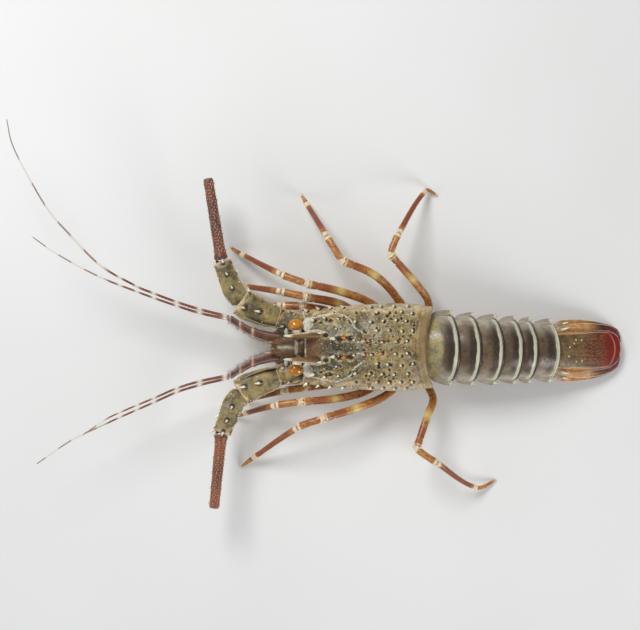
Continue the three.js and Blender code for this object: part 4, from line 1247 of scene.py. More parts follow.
def flanges():
    # the thin blade on the inner side of each stalk
    for letter, side in sides.items():
        rows = flange["rows"]
        line = lineThrough(onSide(side, flange["line"]), rows)
        tall = smooth(flange["tall"], np.linspace(0, 1, rows))
        stations = np.column_stack([line, np.full(rows, flange["thick"]), tall])
        blade = tube("antenna_flange_" + letter, stations, 24, rows - 1, 2.0, rounding=(0.05, 0.05))
        writeMasks(blade, brown=0.6, pale=0.6 * step(np.sin(turnOf(blade)), 0.75, 0.95))
        setDown(blade, "antenna_middle_" + letter, shellFinish)


whipShape = {
    "r": {"root": (-121.3, 51.9, 31.2), "tip": (-129, 100.5, 35.5), "warm": 0.05},
    "l": {"root": (-121.3, -51.9, 31.2), "tip": (-125.4, -95.8, 35.5), "warm": 0.45},
}
whipDetail = {
    "radius": [(0, 3.3), (0.03, 4.1), (0.08, 3.6), (0.12, 3.3), (0.35, 3.2), (0.7, 3), (0.97, 2.85),
               (1, 2.6)],
    "across": 40, "along": 260, "rings": 26, "spinulesInRing": 9,
}


def whipRelief(angle, lengthwise):
    # closely set rings
    return 0.13 * np.cos(lengthwise * whipDetail["rings"] * 2 * math.pi) * step(lengthwise, 0.08, 0.12)


def whips():
    for letter, shape in whipShape.items():
        root, tip = np.array(shape["root"]), np.array(shape["tip"])
        points = [tuple(mixed(root, tip, share)) for share in (0, 0.35, 0.7, 1)]
        whip = limb("antenna_whip_shell_" + letter, points, whipDetail["radius"], whipDetail["across"],
                    whipDetail["along"], rounding=(0.02, 0.012), shape=whipRelief)
        along = readMask(whip, "along")
        spots = places(whip)
        ahead = (tip - root) / np.linalg.norm(tip - root)
        axis = root + np.outer((spots - root) @ ahead, ahead)
        fromAxis = np.linalg.norm(spots - axis, axis=1)
        cut = step(along, 0.985, 0.995)
        writeMasks(
            whip,
            dark=cut * until(fromAxis, 2.1, 2.5) + 0.5 * bump(along, 0.03, 0.02),
            warm=shape["warm"] + 0.2 * np.sin(along * 9),
            pale=np.maximum(cut * step(fromAxis, 2.1, 2.5) * 0.6, 0.35 * bump(along, 0.0, 0.02)),
        )
        side = np.cross(ahead, (0, 0, 1))
        side /= np.linalg.norm(side)
        over = np.cross(side, ahead)
        roots = []
        count = whipDetail["spinulesInRing"]
        for ring in range(whipDetail["rings"]):
            for i in range(count):
                turn = ((i + (ring % 2) * 0.5 + random.uniform(-0.2, 0.2)) / count) * 2 * math.pi
                outward = side * math.cos(turn) + over * math.sin(turn)
                share = 0.1 + ring / whipDetail["rings"] * 0.88
                large = 1.5 if (ring % 6 == 0 and i % 2 == 0) else 0.8
                radius = 0.28 * large ** 0.5 + 0.1
                thick = float(smooth(whipDetail["radius"], share))
                foot = mixed(root, tip, share) + outward * (thick - 0.1)
                roots.append((Vector(foot), Vector(outward * 0.7 + ahead), large, radius, 0.45))
        spinules = spread("antenna_whip_spinules_" + letter, granuleModel, roots)
        dress("antenna_whip_" + letter, "flagellum", (whip, feelerFinish), (spinules, spinuleFinish))


antennuleShape = {
    "stalk": [(-86.2, 4.7, 30.4, 3.0, 2.5), (-88, 4.95, 30.5, 3.4, 2.8), (-94, 6, 30.8, 3.35, 2.8),
              (-100.4, 8, 31.3, 2.9, 2.5), (-102.6, 8.8, 31.5, 3.15, 2.7), (-103.8, 9.4, 31.65, 2.6, 2.3),
              (-108, 11.8, 32.1, 2.35, 2.15), (-110.2, 13.1, 32.35, 2.6, 2.4), (-111.2, 13.8, 32.5, 2.1, 1.9),
              (-113.6, 15.4, 32.8, 2, 1.9), (-116, 16.8, 33.1, 2.2, 2.1), (-116.8, 17.3, 33.2, 1.8, 1.7)],
    "r": {
        "outer": [(-116.4, 18.2, 33.3), (-134, 22.6, 34.4), (-147.5, 26.9, 35.4), (-160.8, 31.9, 36.4),
                  (-171, 36.1, 37.2), (-192.4, 48.6, 39.5), (-212, 68.6, 42), (-222, 80.2, 43.2),
                  (-233, 98.6, 44.4), (-243.4, 119.6, 45.4), (-246.55, 134.2, 46)],
        "inner": [(-116.6, 16.6, 33.3), (-134, 20.4, 34.2), (-147.5, 24.6, 35), (-160.8, 29.2, 35.8),
                  (-171, 33, 36.4), (-187.6, 39.4, 37.6), (-202.1, 46.3, 38.8), (-219.1, 56, 40),
                  (-233.1, 65.9, 41)],
    },
    "l": {
        "outer": [(-116.4, -18.2, 33.3), (-134, -22.4, 34.4), (-147.5, -26.6, 35.4), (-161.4, -32.8, 36.4),
                  (-181, -41.4, 38), (-191.8, -46.4, 38.8), (-208.7, -54.4, 40), (-229.7, -68.7, 41.4)],
        "inner": [(-116.6, -16.6, 33.3), (-134, -20.2, 34.2), (-147.5, -24.3, 35), (-161.4, -30.3, 35.8),
                  (-177, -36.8, 37.4), (-188.5, -42.2, 40.4), (-203.8, -52.6, 43)],
    },
    "radius": (0.86, 0.3), "bands": [-119, -134, -147.5, -161, -171, -181], "whiteFrom": -188,
    "rings": 90,
}
antennuleHairs = {"count": 170, "rows": (8, 98), "rise": (-0.5, 0.5), "forward": (-0.1, 0.7),
                  "length": (1.4, 3.2), "radius": 0.055, "sunk": 0.93}


def antennuleRelief(angle, lengthwise):
    # fine rings, fainter towards the tip
    return 0.06 * np.cos(lengthwise * antennuleShape["rings"] * 2 * math.pi) * (1 - 0.7 * lengthwise)


def antennules():
    for letter, side in sides.items():
        stations = onSide(side, antennuleShape["stalk"])
        stalk = tube("antennule_stalk_shell_" + letter, stations, 32, 110, 2.3, rounding=(0.02, 0.02))
        angle = turnOf(stalk)
        x = places(stalk)[:, 0]
        inner = -side * np.cos(angle)
        rims = bump(x, -102.6, 0.7) + bump(x, -110, 0.6) + bump(x, -116, 0.6)
        pale = np.clip(0.55 * bump(inner, 0.75, 0.1) + 0.45 * rims + 0.2 * bump(inner, -0.6, 0.15), 0, 1)
        below = step(-np.sin(angle), 0.0, 0.6)
        writeMasks(
            stalk,
            warm=np.clip(0.6 * bump(x, -101.8, 1.2) + 0.6 * bump(x, -109, 1) + below, 0, 1),
            pale=np.maximum(pale, 0.3 * below),
            dark=0.5 * step(inner, 0.9, 0.98) + 0.3 * bump(inner, 0.2, 0.3),
        )
        line = lineThrough(stations, 100)
        ahead, across, over = sideways(line)
        roots = []
        for _ in range(antennuleHairs["count"]):
            i = random.randrange(*antennuleHairs["rows"])
            rise, forward, length = drawn(antennuleHairs, "rise", "forward", "length")
            foot = line[i, :3] - side * across[i] * line[i, 3] * antennuleHairs["sunk"]
            direction = over[i] * rise - side * across[i] + ahead[i] * forward
            roots.append((Vector(foot), Vector(direction), length, antennuleHairs["radius"], 0))
        hairs = spread("antennule_fringe_" + letter, hairModel, roots)
        dress("antennule_stalk_" + letter, "flagellum", (stalk, feelerFinish), (hairs, hairFinish))
        for place in ("outer", "inner"):
            thick, thin = antennuleShape["radius"]
            profile = [(0, thick), (0.5, (thick + thin) / 2), (1, thin)]
            whip = limb(f"antennule_whip_{place}_{letter}", antennuleShape[letter][place], profile, 12, 450,
                        rounding=(0.004, 0.004), shape=antennuleRelief)
            x = places(whip)[:, 0]
            pale = sum(bump(x, band, 1.5) for band in antennuleShape["bands"])
            beyond = until(x, antennuleShape["whiteFrom"] - 4, antennuleShape["whiteFrom"] + 2)
            pale = np.maximum(pale, beyond * (0.62 + 0.38 * np.sign(np.sin(x * 0.42))))
            writeMasks(whip, pale=np.clip(pale, 0, 0.95), warm=0.3)
            setDown(whip, f"antennule_{place}_{letter}", feelerFinish)


antennaStalks()
flanges()
whips()
antennules()
print("the antennae and antennules are done")


# Walking legs: the path from the body to the knee, then the wrist, the end of the hand, and the claw's tip

legPaths = {
    "leg1_r": {"upper": [(-40.6, 5.4, 12.8), (-45.5, 13, 12.3), (-57, 20.8, 13), (-74, 24.6, 16)],
               "lower": [(-85, 24.8, 14), (-106, 24.2, 4.4), (-114, 22.8, 0.25)], "thick": 1.12},
    "leg2_r": {"upper": [(-32.6, 7.2, 12.8), (-36.5, 15.5, 12.4), (-49.4, 25.4, 14.8), (-71.8, 30.2, 23)],
               "lower": [(-85.4, 33.1, 21), (-109.7, 37, 5.5), (-118, 38.6, 0.25)], "thick": 1.05},
    "leg3_r": {"upper": [(-23.6, 9, 12.8), (-24.5, 17.5, 12.4), (-31, 25.8, 15), (-49, 32.9, 24),
                         (-70.8, 38, 30)],
               "lower": [(-85.4, 43.4, 27), (-111, 56.7, 6.5), (-118, 60.9, 0.25)], "thick": 1},
    "leg4_r": {"upper": [(-14.6, 10.8, 12.8), (-13.2, 19, 12.4), (-14.4, 27, 15), (-29, 42.4, 27),
                         (-49.5, 51.6, 33)],
               "lower": [(-58.2, 65.7, 29), (-71, 87.6, 6), (-74, 93, 0.25)], "thick": 1},
    "leg5_r": {"upper": [(-5.6, 11.6, 12.8), (0.5, 17.8, 12.2), (3.2, 24.4, 14), (0.6, 31.4, 19),
                         (-20.8, 55.5, 33)],
               "lower": [(-15.9, 67.2, 30), (2.1, 94.9, 5), (9.8, 92.4, 0.25)], "thick": 0.95},
    "leg1_l": {"upper": [(-40.6, -5.4, 12.8), (-45.5, -11.8, 11.6), (-58, -17.6, 10.8), (-73.5, -20.4, 11.4)],
               "lower": [(-84, -20.8, 10.4), (-105, -21.2, 3.6), (-113, -20.4, 0.25)], "thick": 1.05},
    "leg2_l": {"upper": [(-32.6, -7.2, 12.8), (-37, -15, 12.6), (-52, -21.4, 15.4), (-71, -24.6, 18)],
               "lower": [(-83, -26.4, 16), (-104, -32, 5), (-112, -35, 0.25)], "thick": 1},
    "leg3_l": {"upper": [(-23.6, -9, 12.8), (-25, -17.5, 12.5), (-33.5, -26.2, 15.5), (-50.1, -30.6, 22),
                         (-74.5, -32.8, 28)],
               "lower": [(-88.6, -34.8, 25.5), (-109, -41, 7), (-117, -44, 0.25)], "thick": 1},
    "leg4_l": {"upper": [(-14.6, -10.8, 12.8), (-15.5, -19, 12.5), (-21, -28, 16), (-36, -35, 24),
                         (-61.3, -42.6, 31)],
               "lower": [(-75.5, -48, 27.5), (-103.8, -68.3, 6), (-111.4, -74.3, 0.25)], "thick": 1},
    "leg5_l": {"upper": [(-5.6, -11.6, 12.8), (-1.5, -18, 12.2), (3.5, -25.4, 14.5), (5.6, -32, 19),
                         (1.5, -42, 26), (-5.2, -60.4, 33)],
               "lower": [(6.6, -68.6, 29.5), (33.3, -84.7, 5.5), (45.7, -80, 0.25)], "thick": 0.95},
}
legShape = {
    # hip, the short joint after it, and the thigh with its flared end, by share of the length
    "upper": [(0, 2.7), (0.03, 3.3), (0.085, 3.45), (0.1, 3.1), (0.112, 2.5), (0.125, 2.75), (0.16, 2.85),
              (0.19, 2.6), (0.2, 2.35), (0.215, 2.75), (0.24, 2.8), (0.3, 2.45), (0.45, 2.5), (0.6, 2.55),
              (0.75, 2.45), (0.88, 2.35), (0.93, 2.45), (0.97, 2.8), (0.99, 2.75), (1, 2.2)],
    # wrist, hand and claw, by joint
    "lower": [(-0.12, 1.5), (0, 1.6), (0.06, 2.0), (0.16, 2.2), (0.3, 2.2), (0.7, 2.2), (0.86, 2.35),
              (0.95, 2.4), (1, 2.0), (1.03, 1.7), (1.07, 1.95), (1.18, 1.9), (1.5, 1.72), (1.8, 1.58),
              (1.93, 1.72), (1.975, 1.68), (2.01, 1.15), (2.07, 1.4), (2.4, 1.15), (2.8, 0.75), (3, 0.35)],
    "across": 24, "upperRows": 190, "lowerRows": 230, "rough": (2.2, 0.16),
}
clawBristles = {
    "count": 70, "rows": (1, 28), "turn": (0, 2 * math.pi), "sunk": 0.9, "outward": 1, "ahead": 1.6,
    "length": (0.8, 1.6), "radius": 0.06, "tints": [0.8],
}


def bands(distance, centres):
    return np.clip(sum(bump(distance, centre, width) for centre, width in centres), 0, 1)


def legs():
    for name, path in legPaths.items():
        thick = path["thick"]
        upper = limb(name + "_thigh", path["upper"], [(s, r * thick) for s, r in legShape["upper"]],
                     legShape["across"], legShape["upperRows"], 2.2, (0.02, 0.01))
        reach = np.linalg.norm(np.diff(lineThrough(path["upper"], 80), axis=0), axis=1).sum()
        along = readMask(upper, "along")
        fromKnee = (1 - along) * reach
        angle = turnOf(upper)
        # the pale strips along both sides of the thigh are partly the leg's real cream line and partly a
        # painted highlight, as light from the side gives
        edges = 0.6 * step(abs(np.cos(angle)), 0.91, 0.99) * step(along, 0.24, 0.3)
        saddle = 1 - 0.75 * bump(fromKnee, 1.4, 0.6) * step(np.sin(angle), 0.5, 0.85)
        writeMasks(
            upper,
            pale=np.maximum(bands(fromKnee, [(0.6, 2.4)]) * saddle, edges),
            yellow=bands(fromKnee, [(21.5, 2.8)]) * 0.9,
        )
        below = 0.95 * step(-np.sin(angle), -0.1, 0.6)
        writeMasks(
            upper,
            under=np.maximum(below, 0.7 * until(along, 0.17, 0.25)),
            dark=0.75 * np.maximum(bump(along, 0.108, 0.008), bump(along, 0.2, 0.007)),
            dusk=0.5 * step(fromKnee, 3, 8) * until(fromKnee, 12, 18),
        )
        # bulges that the knee turns on, and a spine over it
        knee = Vector(path["upper"][-1])
        ahead = (knee - Vector(path["upper"][-2])).normalized()
        roots = [(knee - ahead * 2.2 + up * 2.4 * thick, ahead + up * 0.5, 2.4, 0.8, 0.1)]
        line = lineThrough(path["upper"], 100)
        ways, across, over = sideways(line)
        for i in (88, 94):
            for turn in (-1, 1):
                out = across[i] * turn * 0.8 + over[i] * 0.6
                foot = line[i, :3] + out * 2.35 * thick
                roots.append((Vector(foot), Vector(out + ways[i]), 0.9, 0.45, 0.1))
        spines = spread(name + "_spines", spineModel, roots)
        writeMask(spines, "pale", 0.5)

        joints = [path["upper"][-1], *path["lower"]]
        start = tuple(knee - ahead * 1.2)
        gaps = [math.dist(a, b) for a, b in zip(joints, joints[1:])]
        ends = np.concatenate([[-1.2, 0], np.cumsum(gaps)])
        whole = ends[-1] - ends[0]
        reach = [(float(np.interp(place, [-0.12, 0, 1, 2, 3], ends)) - ends[0]) / whole
                 for place, _ in legShape["lower"]]
        profile = [(share, radius * thick) for share, (_, radius) in zip(reach, legShape["lower"])]
        lower = limb(name + "_shin", [start,
                                      *joints], profile, legShape["across"], legShape["lowerRows"], 2.1,
                     (0.01, 0.01))
        fromStart = readMask(lower, "along") * whole + ends[0]
        wrist, hand = ends[2], ends[3]
        angle = turnOf(lower)
        writeMask(lower, "under", 0.7 * step(-np.sin(angle), 0, 0.8))
        pale = bands(fromStart, [(0.2, 1.9), (wrist - 1.0, 1.2), (wrist + 1.6, 1.7), (hand - 2.4, 2.3)])
        pale *= 1 - 0.75 * bands(fromStart, [(1.2, 0.6), (wrist - 0.4, 0.5)]) * step(np.sin(angle), 0.5, 0.85)
        pale = np.maximum(pale, 0.6 * step(fromStart, ends[4] - 3.2, ends[4] - 1.5))
        # the pale strips along both sides of the wrist and hand are partly a real cream line and partly a
        # painted highlight of light from the side
        edges = 0.56 * step(abs(np.cos(angle)), 0.92, 0.99) * until(fromStart, hand - 6, hand)
        pale = np.maximum(pale, edges)
        writeMasks(
            lower,
            pale=pale,
            dusk=0.75 * step(fromStart, wrist + 4, wrist + 8) * until(fromStart, hand - 8, hand - 4),
            dark=0.8 * np.maximum(bump(fromStart, wrist + 0.3, 0.35), bump(fromStart, hand + 0.1, 0.3)),
        )
        claw = lineThrough([joints[2], joints[3]], 30)
        hairs = bristles(name + "_bristles", claw, clawBristles,
                         lambda i: thick * float(np.interp(i, [0, 29], [1.2, 0.5])))
        roughen(upper, *legShape["rough"])
        dress(name + "_upper", "leg", (upper, legFinish), (spines, spineFinish))
        dress(name + "_lower", "leg", (lower, legFinish), (hairs, hairFinish))


legs()
print("the walking legs are done")


# Underside of the head and breast

sternumShape = {
    "stations": [(-44.5, 0, 13, 1.4, 2.2), (-40, 0, 12.9, 4, 3.2), (-30, 0, 12.9, 6.2, 3.4),
                 (-20, 0, 12.9, 8.2, 3.4), (-10, 0, 12.9, 10, 3.4), (0, 0, 12.9, 10.8, 3.4),
                 (3, 0, 12.9, 9, 3)],
    "slits": [-36.6, -28.1, -19.1, -10.1, -2.6], "slitWidth": 0.4, "slitDepth": 0.7, "rough": (2.0, 0.4),
}
epistomeShape = {
    "stations": [(-92.6, 0, 17.8, 7, 2.4), (-88, 0, 17.4, 10.8, 3.6), (-81, 0, 16.5, 14.6, 4.5),
                 (-74.5, 0, 15.6, 16.6, 4.8), (-69.5, 0, 14.8, 13, 4.2), (-64, 0, 14.2, 7.5, 3.4)],
    "points": [(-92.4, 1.2), (-92.2, 3.6), (-91.2, 6.2), (-89.4, 8.8)], "power": 2.6, "grains": 260,
    "rows": (2, 44), "turn": (-0.35, math.pi + 0.35), "height": (0.2, 0.5), "radius": (0.2, 0.45),
    "rough": (1.6, 0.6),
}
mouthShape = {
    "centre": (-65.6, 0, 11), "lipTurn": (105, 255), "lipRadius": 5.3, "lipThick": 1.1, "lipRows": 13,
    "jawSize": (3, 2.1, 1.7), "jawApart": 1.9, "jawRough": (0.9, 0.7), "flapRough": (1.4, 0.4),
    "flap": [(-62, 2.6, 12), (-57, 4, 11.2), (-51, 3, 11.6), (-46.5, 1.4, 12.4)],
    "flapRadius": [(0, 1.8), (0.4, 2.5), (0.8, 1.6), (1, 0.8)],
}
flapHairs = {"count": 240, "rows": (2, 58), "turn": (0.2, -math.pi - 0.2), "sunk": 0.95, "outward": 0.5,
             "ahead": -1.2, "length": (1.2, 2.6), "radius": 0.05, "tints": [0, 0.4]}
maxillipedShape = {
    "path": [(-46, 2.9, 9.6), (-57, 8.4, 7.6), (-72.6, 14.2, 6.6), (-75.2, 13.6, 6.8), (-82, 10.9, 9),
             (-90, 7.8, 11.8)],
    "profile": [(0, 1.6), (0.05, 2.3), (0.1, 2.5), (0.115, 2.1), (0.14, 2.4), (0.3, 2.6), (0.5, 2.35),
                (0.555, 2.45), (0.57, 1.9), (0.6, 2.1), (0.66, 1.9), (0.76, 1.75), (0.775, 1.4), (0.8, 1.6),
                (0.93, 1.3), (1, 0.5)],
    "teeth": 15, "rough": (2.0, 0.2),
}
maxillipedBristles = {"count": 90, "rows": (70, 118), "turn": (0, 2 * math.pi), "sunk": 0.9, "outward": 1,
                      "ahead": 1, "length": (1.0, 2.2), "radius": 0.06, "tints": [0.5]}


def underside():
    def slits(x, share):
        # the short dark slits on both sides of the middle, one between every two legs
        cut = sum(bump(x, place + 1.5 * share, sternumShape["slitWidth"]) for place in sternumShape["slits"])
        return cut * step(share, 0.3, 0.42) * until(share, 0.68, 0.8)

    def relief(angle, lengthwise):
        x = mixed(-44.5, 3, lengthwise)
        below = step(-np.sin(angle), 0.1, 0.5)
        share = abs(np.cos(angle)) ** 0.625
        knobs = sum(bump(x, place + 5, 2.4) for place in sternumShape["slits"]) * step(share, 0.6, 0.9)
        cut = sternumShape["slitDepth"] * slits(x, share) + 0.35 * bump(share, 0, 0.06)
        return below * (0.6 * knobs - cut)

    sternum = tube("breastplate", sternumShape["stations"], 72, 160, 3.2, relief, (0.03, 0.03))
    spots = places(sternum)
    share = abs(np.cos(turnOf(sternum))) ** 0.625
    writeMasks(
        sternum,
        dark=np.clip(0.9 * slits(spots[:, 0], share), 0, 0.9),
        grey=0.85 - 0.45 * step(share, 0.45, 0.8),
    )
    roughen(sternum, *sternumShape["rough"])
    setDown(sternum, "sternum", bellyFinish)

    def midGroove(angle, lengthwise):
        below = step(-np.sin(angle), 0.1, 0.5)
        across = np.cos(angle)
        return below * (0.3 * bump(abs(across), 0.45, 0.12) - 0.6 * bump(across, 0, 0.05))

    power = epistomeShape["power"]
    mouthFrame = tube("mouth_frame", epistomeShape["stations"], 96, 90, power, midGroove, (0.04, 0.06))
    spots = places(mouthFrame)
    writeMasks(
        mouthFrame,
        pale=0.45 * until(spots[:, 0], -82, -72) * until(abs(spots[:, 1]), 6, 12),
        grey=np.maximum(0.45 * step(spots[:, 0], -76, -69), 0.85 * step(spots[:, 2], 15.4, 18)),
        dark=0.5 * bump(spots[:, 1], 0, 0.4) * until(spots[:, 2], 12, 15),
    )
    roughen(mouthFrame, *epistomeShape["rough"])
    surface = surfaceOf(epistomeShape["stations"], power)
    grains = []
    for _ in range(epistomeShape["grains"]):
        i = random.randrange(*epistomeShape["rows"])
        place, outward, ahead = surface(i, random.uniform(*epistomeShape["turn"]))
        grains.append((place, outward - ahead, *drawn(epistomeShape, "height", "radius"), 0))
    grains = spread("mouth_frame_grains", granuleModel, grains)
    points = spread("mouth_frame_points", spineModel,
                    [(Vector((x + 0.4, side * y, 16.8)), Vector((-1, side * 0.12, 0)), 1.3, 0.7, 0.1)
                     for x, y in epistomeShape["points"] for side in (1, -1)])
    writeMask(points, "pale", 0.9)
    dress("epistome", "belly", (mouthFrame, bellyFinish), (points, spineFinish), (grains, knobFinish))

    x, y, z = mouthShape["centre"]
    turns = np.radians(np.linspace(*mouthShape["lipTurn"], mouthShape["lipRows"]))
    radius, thick = mouthShape["lipRadius"], mouthShape["lipThick"]
    stations = [(x + radius * np.cos(turn), radius * np.sin(turn), z, thick, thick) for turn in turns]
    lip = tube("upper_lip", stations, 20, 70, 2.0, rounding=(0.12, 0.12))
    writeMask(lip, "pale", 0.75)
    setDown(lip, "epistome", bellyFinish)
    for letter, side in sides.items():
        jaw = ball("jaw_" + letter, 40, 24)
        outward = side * places(jaw)[:, 1]
        stretchTo(jaw, mouthShape["jawSize"], (x + 0.4, side * mouthShape["jawApart"], z))
        writeMasks(jaw, dark=0.92 - 0.4 * step(outward, 0.4, 0.9), grey=0.6)
        roughen(jaw, *mouthShape["jawRough"])
        setDown(jaw, "epistome", bellyFinish)
        points = onSide(side, mouthShape["flap"])
        flap = limb("mouth_flap_" + letter, points, mouthShape["flapRadius"], 24, 60, 2.2, (0.05, 0.05))
        writeMask(flap, "grey", 0.7)
        roughen(flap, *mouthShape["flapRough"])
        hairs = bristles("mouth_hairs_" + letter, lineThrough(points, 60), flapHairs,
                         lambda i: float(smooth(mouthShape["flapRadius"], i / 59)))
        dress("epistome", "belly", (flap, bellyFinish), (hairs, hairFinish))

    for letter, side in sides.items():
        name = "maxilliped_" + letter
        points = onSide(side, maxillipedShape["path"])
        limbShell = limb(name + "_shell", points, maxillipedShape["profile"], 28, 150, 2.3, (0.02, 0.02))
        along = readMask(limbShell, "along")
        writeMasks(
            limbShell,
            pale=bands(along, [(0.57, 0.03), (0.77, 0.02), (0.12, 0.02), (0.36, 0.06)]),
            under=0.7,
            dark=0.7 * (bump(along, 0.113, 0.006) + bump(along, 0.568, 0.006) + bump(along, 0.773, 0.006)),
        )
        line = lineThrough(points, 120)
        ways, across, over = sideways(line)
        teeth = []
        for i in np.linspace(14, 64, maxillipedShape["teeth"]).astype(int):
            inner = -side * across[i] - over[i] * 0.3
            teeth.append((Vector(line[i, :3] + inner * 2.1), Vector(inner + ways[i] * 0.4), 0.9, 0.5, 0.1))
        teeth = spread(name + "_teeth", spineModel, teeth)
        writeMask(teeth, "pale", 0.8)
        hairs = bristles(name + "_bristles", line, maxillipedBristles,
                         lambda i: float(smooth(maxillipedShape["profile"], i / 119)))
        roughen(limbShell, *maxillipedShape["rough"])
        dress(name, "leg", (limbShell, legFinish), (teeth, spineFinish), (hairs, hairFinish))


underside()
print("the underside of the head and breast is done")


# Tail

tailShape = {
    "width": [(-6, 17.2), (6, 18.6), (20, 19.4), (33, 19), (47, 18.2), (59, 17.6), (68, 17), (81, 15.8)],
    "top": [(-6, 40), (8, 42.6), (20, 43.2), (33, 42.4), (47, 40.2), (59, 37), (68, 34), (81, 28.6)],
    "under": [(-6, 20), (20, 18), (47, 15.5), (68, 12.6), (81, 10.8)],
    "backs": [20.3, 33.3, 46.9, 58.8, 67.9, 80.9], "front": -6, "firstEdge": 4.5, "tuck": 4.5, "bow": 3,
    "lip": 0.05, "across": 144, "along": 64, "paleBand": (1.5, 3.4), "rough": (1.8, 0.2),
    "flapRough": (1.6, 0.25),
}
# the teeth at a flap's rear edge, by share of its length and size
flapTeeth = [(0.4, 1.5), (0.54, 3.4), (0.66, 1.5), (0.76, 1.4), (0.85, 1.2)]


def ringSpan(i):
    backs = tailShape["backs"]
    if i == 0:
        return tailShape["front"], tailShape["firstEdge"], backs[0]
    return backs[i - 1] - tailShape["tuck"], backs[i - 1], backs[i]


def tailRing(i):
    front, edge, back = ringSpan(i)
    visible = back - edge
    last = back == tailShape["backs"][-1]
    size = [(front, 0.9), (edge, 0.955), (mixed(edge, back, 0.3), 0.99), (mixed(edge, back, 0.75), 1),
            (back, 0.99)]
    lip = tailShape["lip"]

    def place(around, lengthwise):
        angle = around * 2 * math.pi
        x = mixed(front, back, np.clip(lengthwise / (1 - lip), 0, 1))
        folded = np.clip((lengthwise - 1 + lip) / lip, 0, 1)
        roof = np.sin(angle) >= 0
        low = smooth(tailShape["under"], x)
        middle = low + 6
        across, over = superellipse(angle, np.where(roof, 2.2, 4))
        share = smooth(size, x)
        swell = 0.22 * bump(back - x, 0.7, 0.5) - 0.3 * bump(back - x, 1.5, 0.3) - 1.8 * folded
        swell += np.where(roof, 0, 0.8 * bump(back - x, 2.2, 1.3) - 0.6 * bump(back - x, visible * 0.6, 2))
        high = np.where(roof, smooth(tailShape["top"], x) - middle, middle - low) * share + swell
        wide = smooth(tailShape["width"], x) * share + swell
        return x - tailShape["bow"] * across ** 2 - folded * 0.5, across * wide, middle + over * high

    ring = drawOut(f"tail_ring_{i + 1}", tailShape["across"], tailShape["along"], place)
    angle, lengthwise = turnOf(ring), readMask(ring, "along")
    behind = back - mixed(front, back, np.clip(lengthwise / (1 - lip), 0, 1))
    across = abs(np.cos(angle))
    roof = step(np.sin(angle), -0.25, 0.0)
    near, far = tailShape["paleBand"]
    far = far + 0.9 * step(across, 0.75, 0.98) - (1.1 if last else 0)
    ragged = 0.2 * np.sin(angle * 9 + i) + 0.1 * np.sin(angle * 23 + 2 * i)
    pale = step(behind, near - 0.15, near + 0.1) * until(behind + ragged, far - 0.3, far + 0.15) * roof
    if last:
        pale = np.maximum(pale, until(behind, 1.2, 1.6) * roof)
    white = 0.85 * (1 - roof) * until(behind, visible - 5, visible - 3) if i == 0 else 0
    dark = 0 if last else 0.9 * until(behind, near - 0.3, near) * roof
    dusk = bump(behind, 5.2, 2.4) * until(across, 0.55, 0.95) * 0.75 + 0.3 * bump(across, 0, 0.4)
    writeMasks(
        ring,
        pale=np.maximum(pale * 0.95, white),
        dark=dark,
        belly=1 - roof,
        side=0.9 * step(across, 0.35, 0.9),
        dusk=np.clip(dusk, 0, 0.85) * roof,
    )
    if i == 0:
        x = places(ring)[:, 0]
        # the smooth yellowish stretch ahead of the first band
        writeMask(ring, "yellow", until(x + 1.2 * np.sin(angle * 3), 7.5, 10.5) * roof)
    roughen(ring, *tailShape["rough"])
    setDown(ring, f"abdomen_{i + 1}", tailFinish)


def pleuron(i, letter, side):
    # the flap at a ring's flank, which ends in a tooth that points back, with smaller teeth behind it
    _, edge, back = ringSpan(i)
    start = mixed(edge, back, 0.5) - tailShape["bow"]
    wide = float(smooth(tailShape["width"], start))
    low = float(smooth(tailShape["under"], start))
    long = back - edge
    broad = long * 0.36
    reach, flare = (0.45, 1.2) if i == 0 else (1, 0)
    shares = [0, 0.3, 0.55, 0.75, 0.9, 1]
    past = np.array((-0.4, 0.2, 0.09 * long, 0.22 * long, 0.36 * long, 0.46 * long + 0.8))
    middle = list(zip(shares, start + past))
    length = list(zip(shares, (broad, broad * 1.05, broad * 0.9, broad * 0.55, 0.8, 0.15)))
    thick = list(zip(shares, (0.3, 0.9, 0.95, 0.8, 0.5, 0.12)))
    flared = np.array((-0.9, -0.2, 0.8, 1.6, 2.2, 2.6)) + np.array((0, 0, 0.7, 1, 1, 1)) * flare
    out = list(zip(shares, flared))
    top, tip = low + 9, low - 4.9 * reach

    def depth(lengthwise):
        return mixed(top, tip, lengthwise ** 0.9)

    def place(around, lengthwise):
        angle = around * 2 * math.pi
        lengthNow, thickNow = smooth(length, lengthwise), smooth(thick, lengthwise)
        x = smooth(middle, lengthwise) + np.cos(angle) * lengthNow
        y = wide + smooth(out, lengthwise) + np.sin(angle) * thickNow
        return x, side * y, depth(lengthwise) - 0.5 * np.cos(angle) * (lengthwise > 0.3) * (1 - lengthwise)

    flap = drawOut(f"tail_flap_{i + 1}_{letter}", 40, 52, place)
    along = readMask(flap, "along")
    rear = np.cos(turnOf(flap))
    writeMasks(flap, side=0.75, belly=step(-np.sin(turnOf(flap)), -0.1, 0.3))
    tips = 0.8 * step(along, 0.84, 0.95)
    writeMask(flap, "pale", np.maximum(tips, 0.6 * step(abs(rear), 0.88, 1) * step(along, 0.3, 0.5)))
    teeth = []
    for share, size in flapTeeth:
        rearX = float(smooth(middle, share) + smooth(length, share))
        foot = Vector((rearX - 0.7, side * (wide + float(smooth(out, share))), depth(share) - 0.3))
        teeth.append((foot, Vector((1, side * 0.3, -0.15)), size + 0.5, 0.3 + 0.18 * size, 0.1))
    teeth = spread(f"tail_teeth_{i + 1}_{letter}", spineModel, teeth)
    writeMask(teeth, "pale", 0.65)
    roughen(flap, *tailShape["flapRough"])
    dress(f"abdomen_{i + 1}", "tail_shell", (flap, tailFinish), (teeth, spineFinish))


for i in range(len(tailShape["backs"])):
    tailRing(i)
    for letter, side in sides.items():
        pleuron(i, letter, side)
print("the tail's rings are done")


# Tail fan

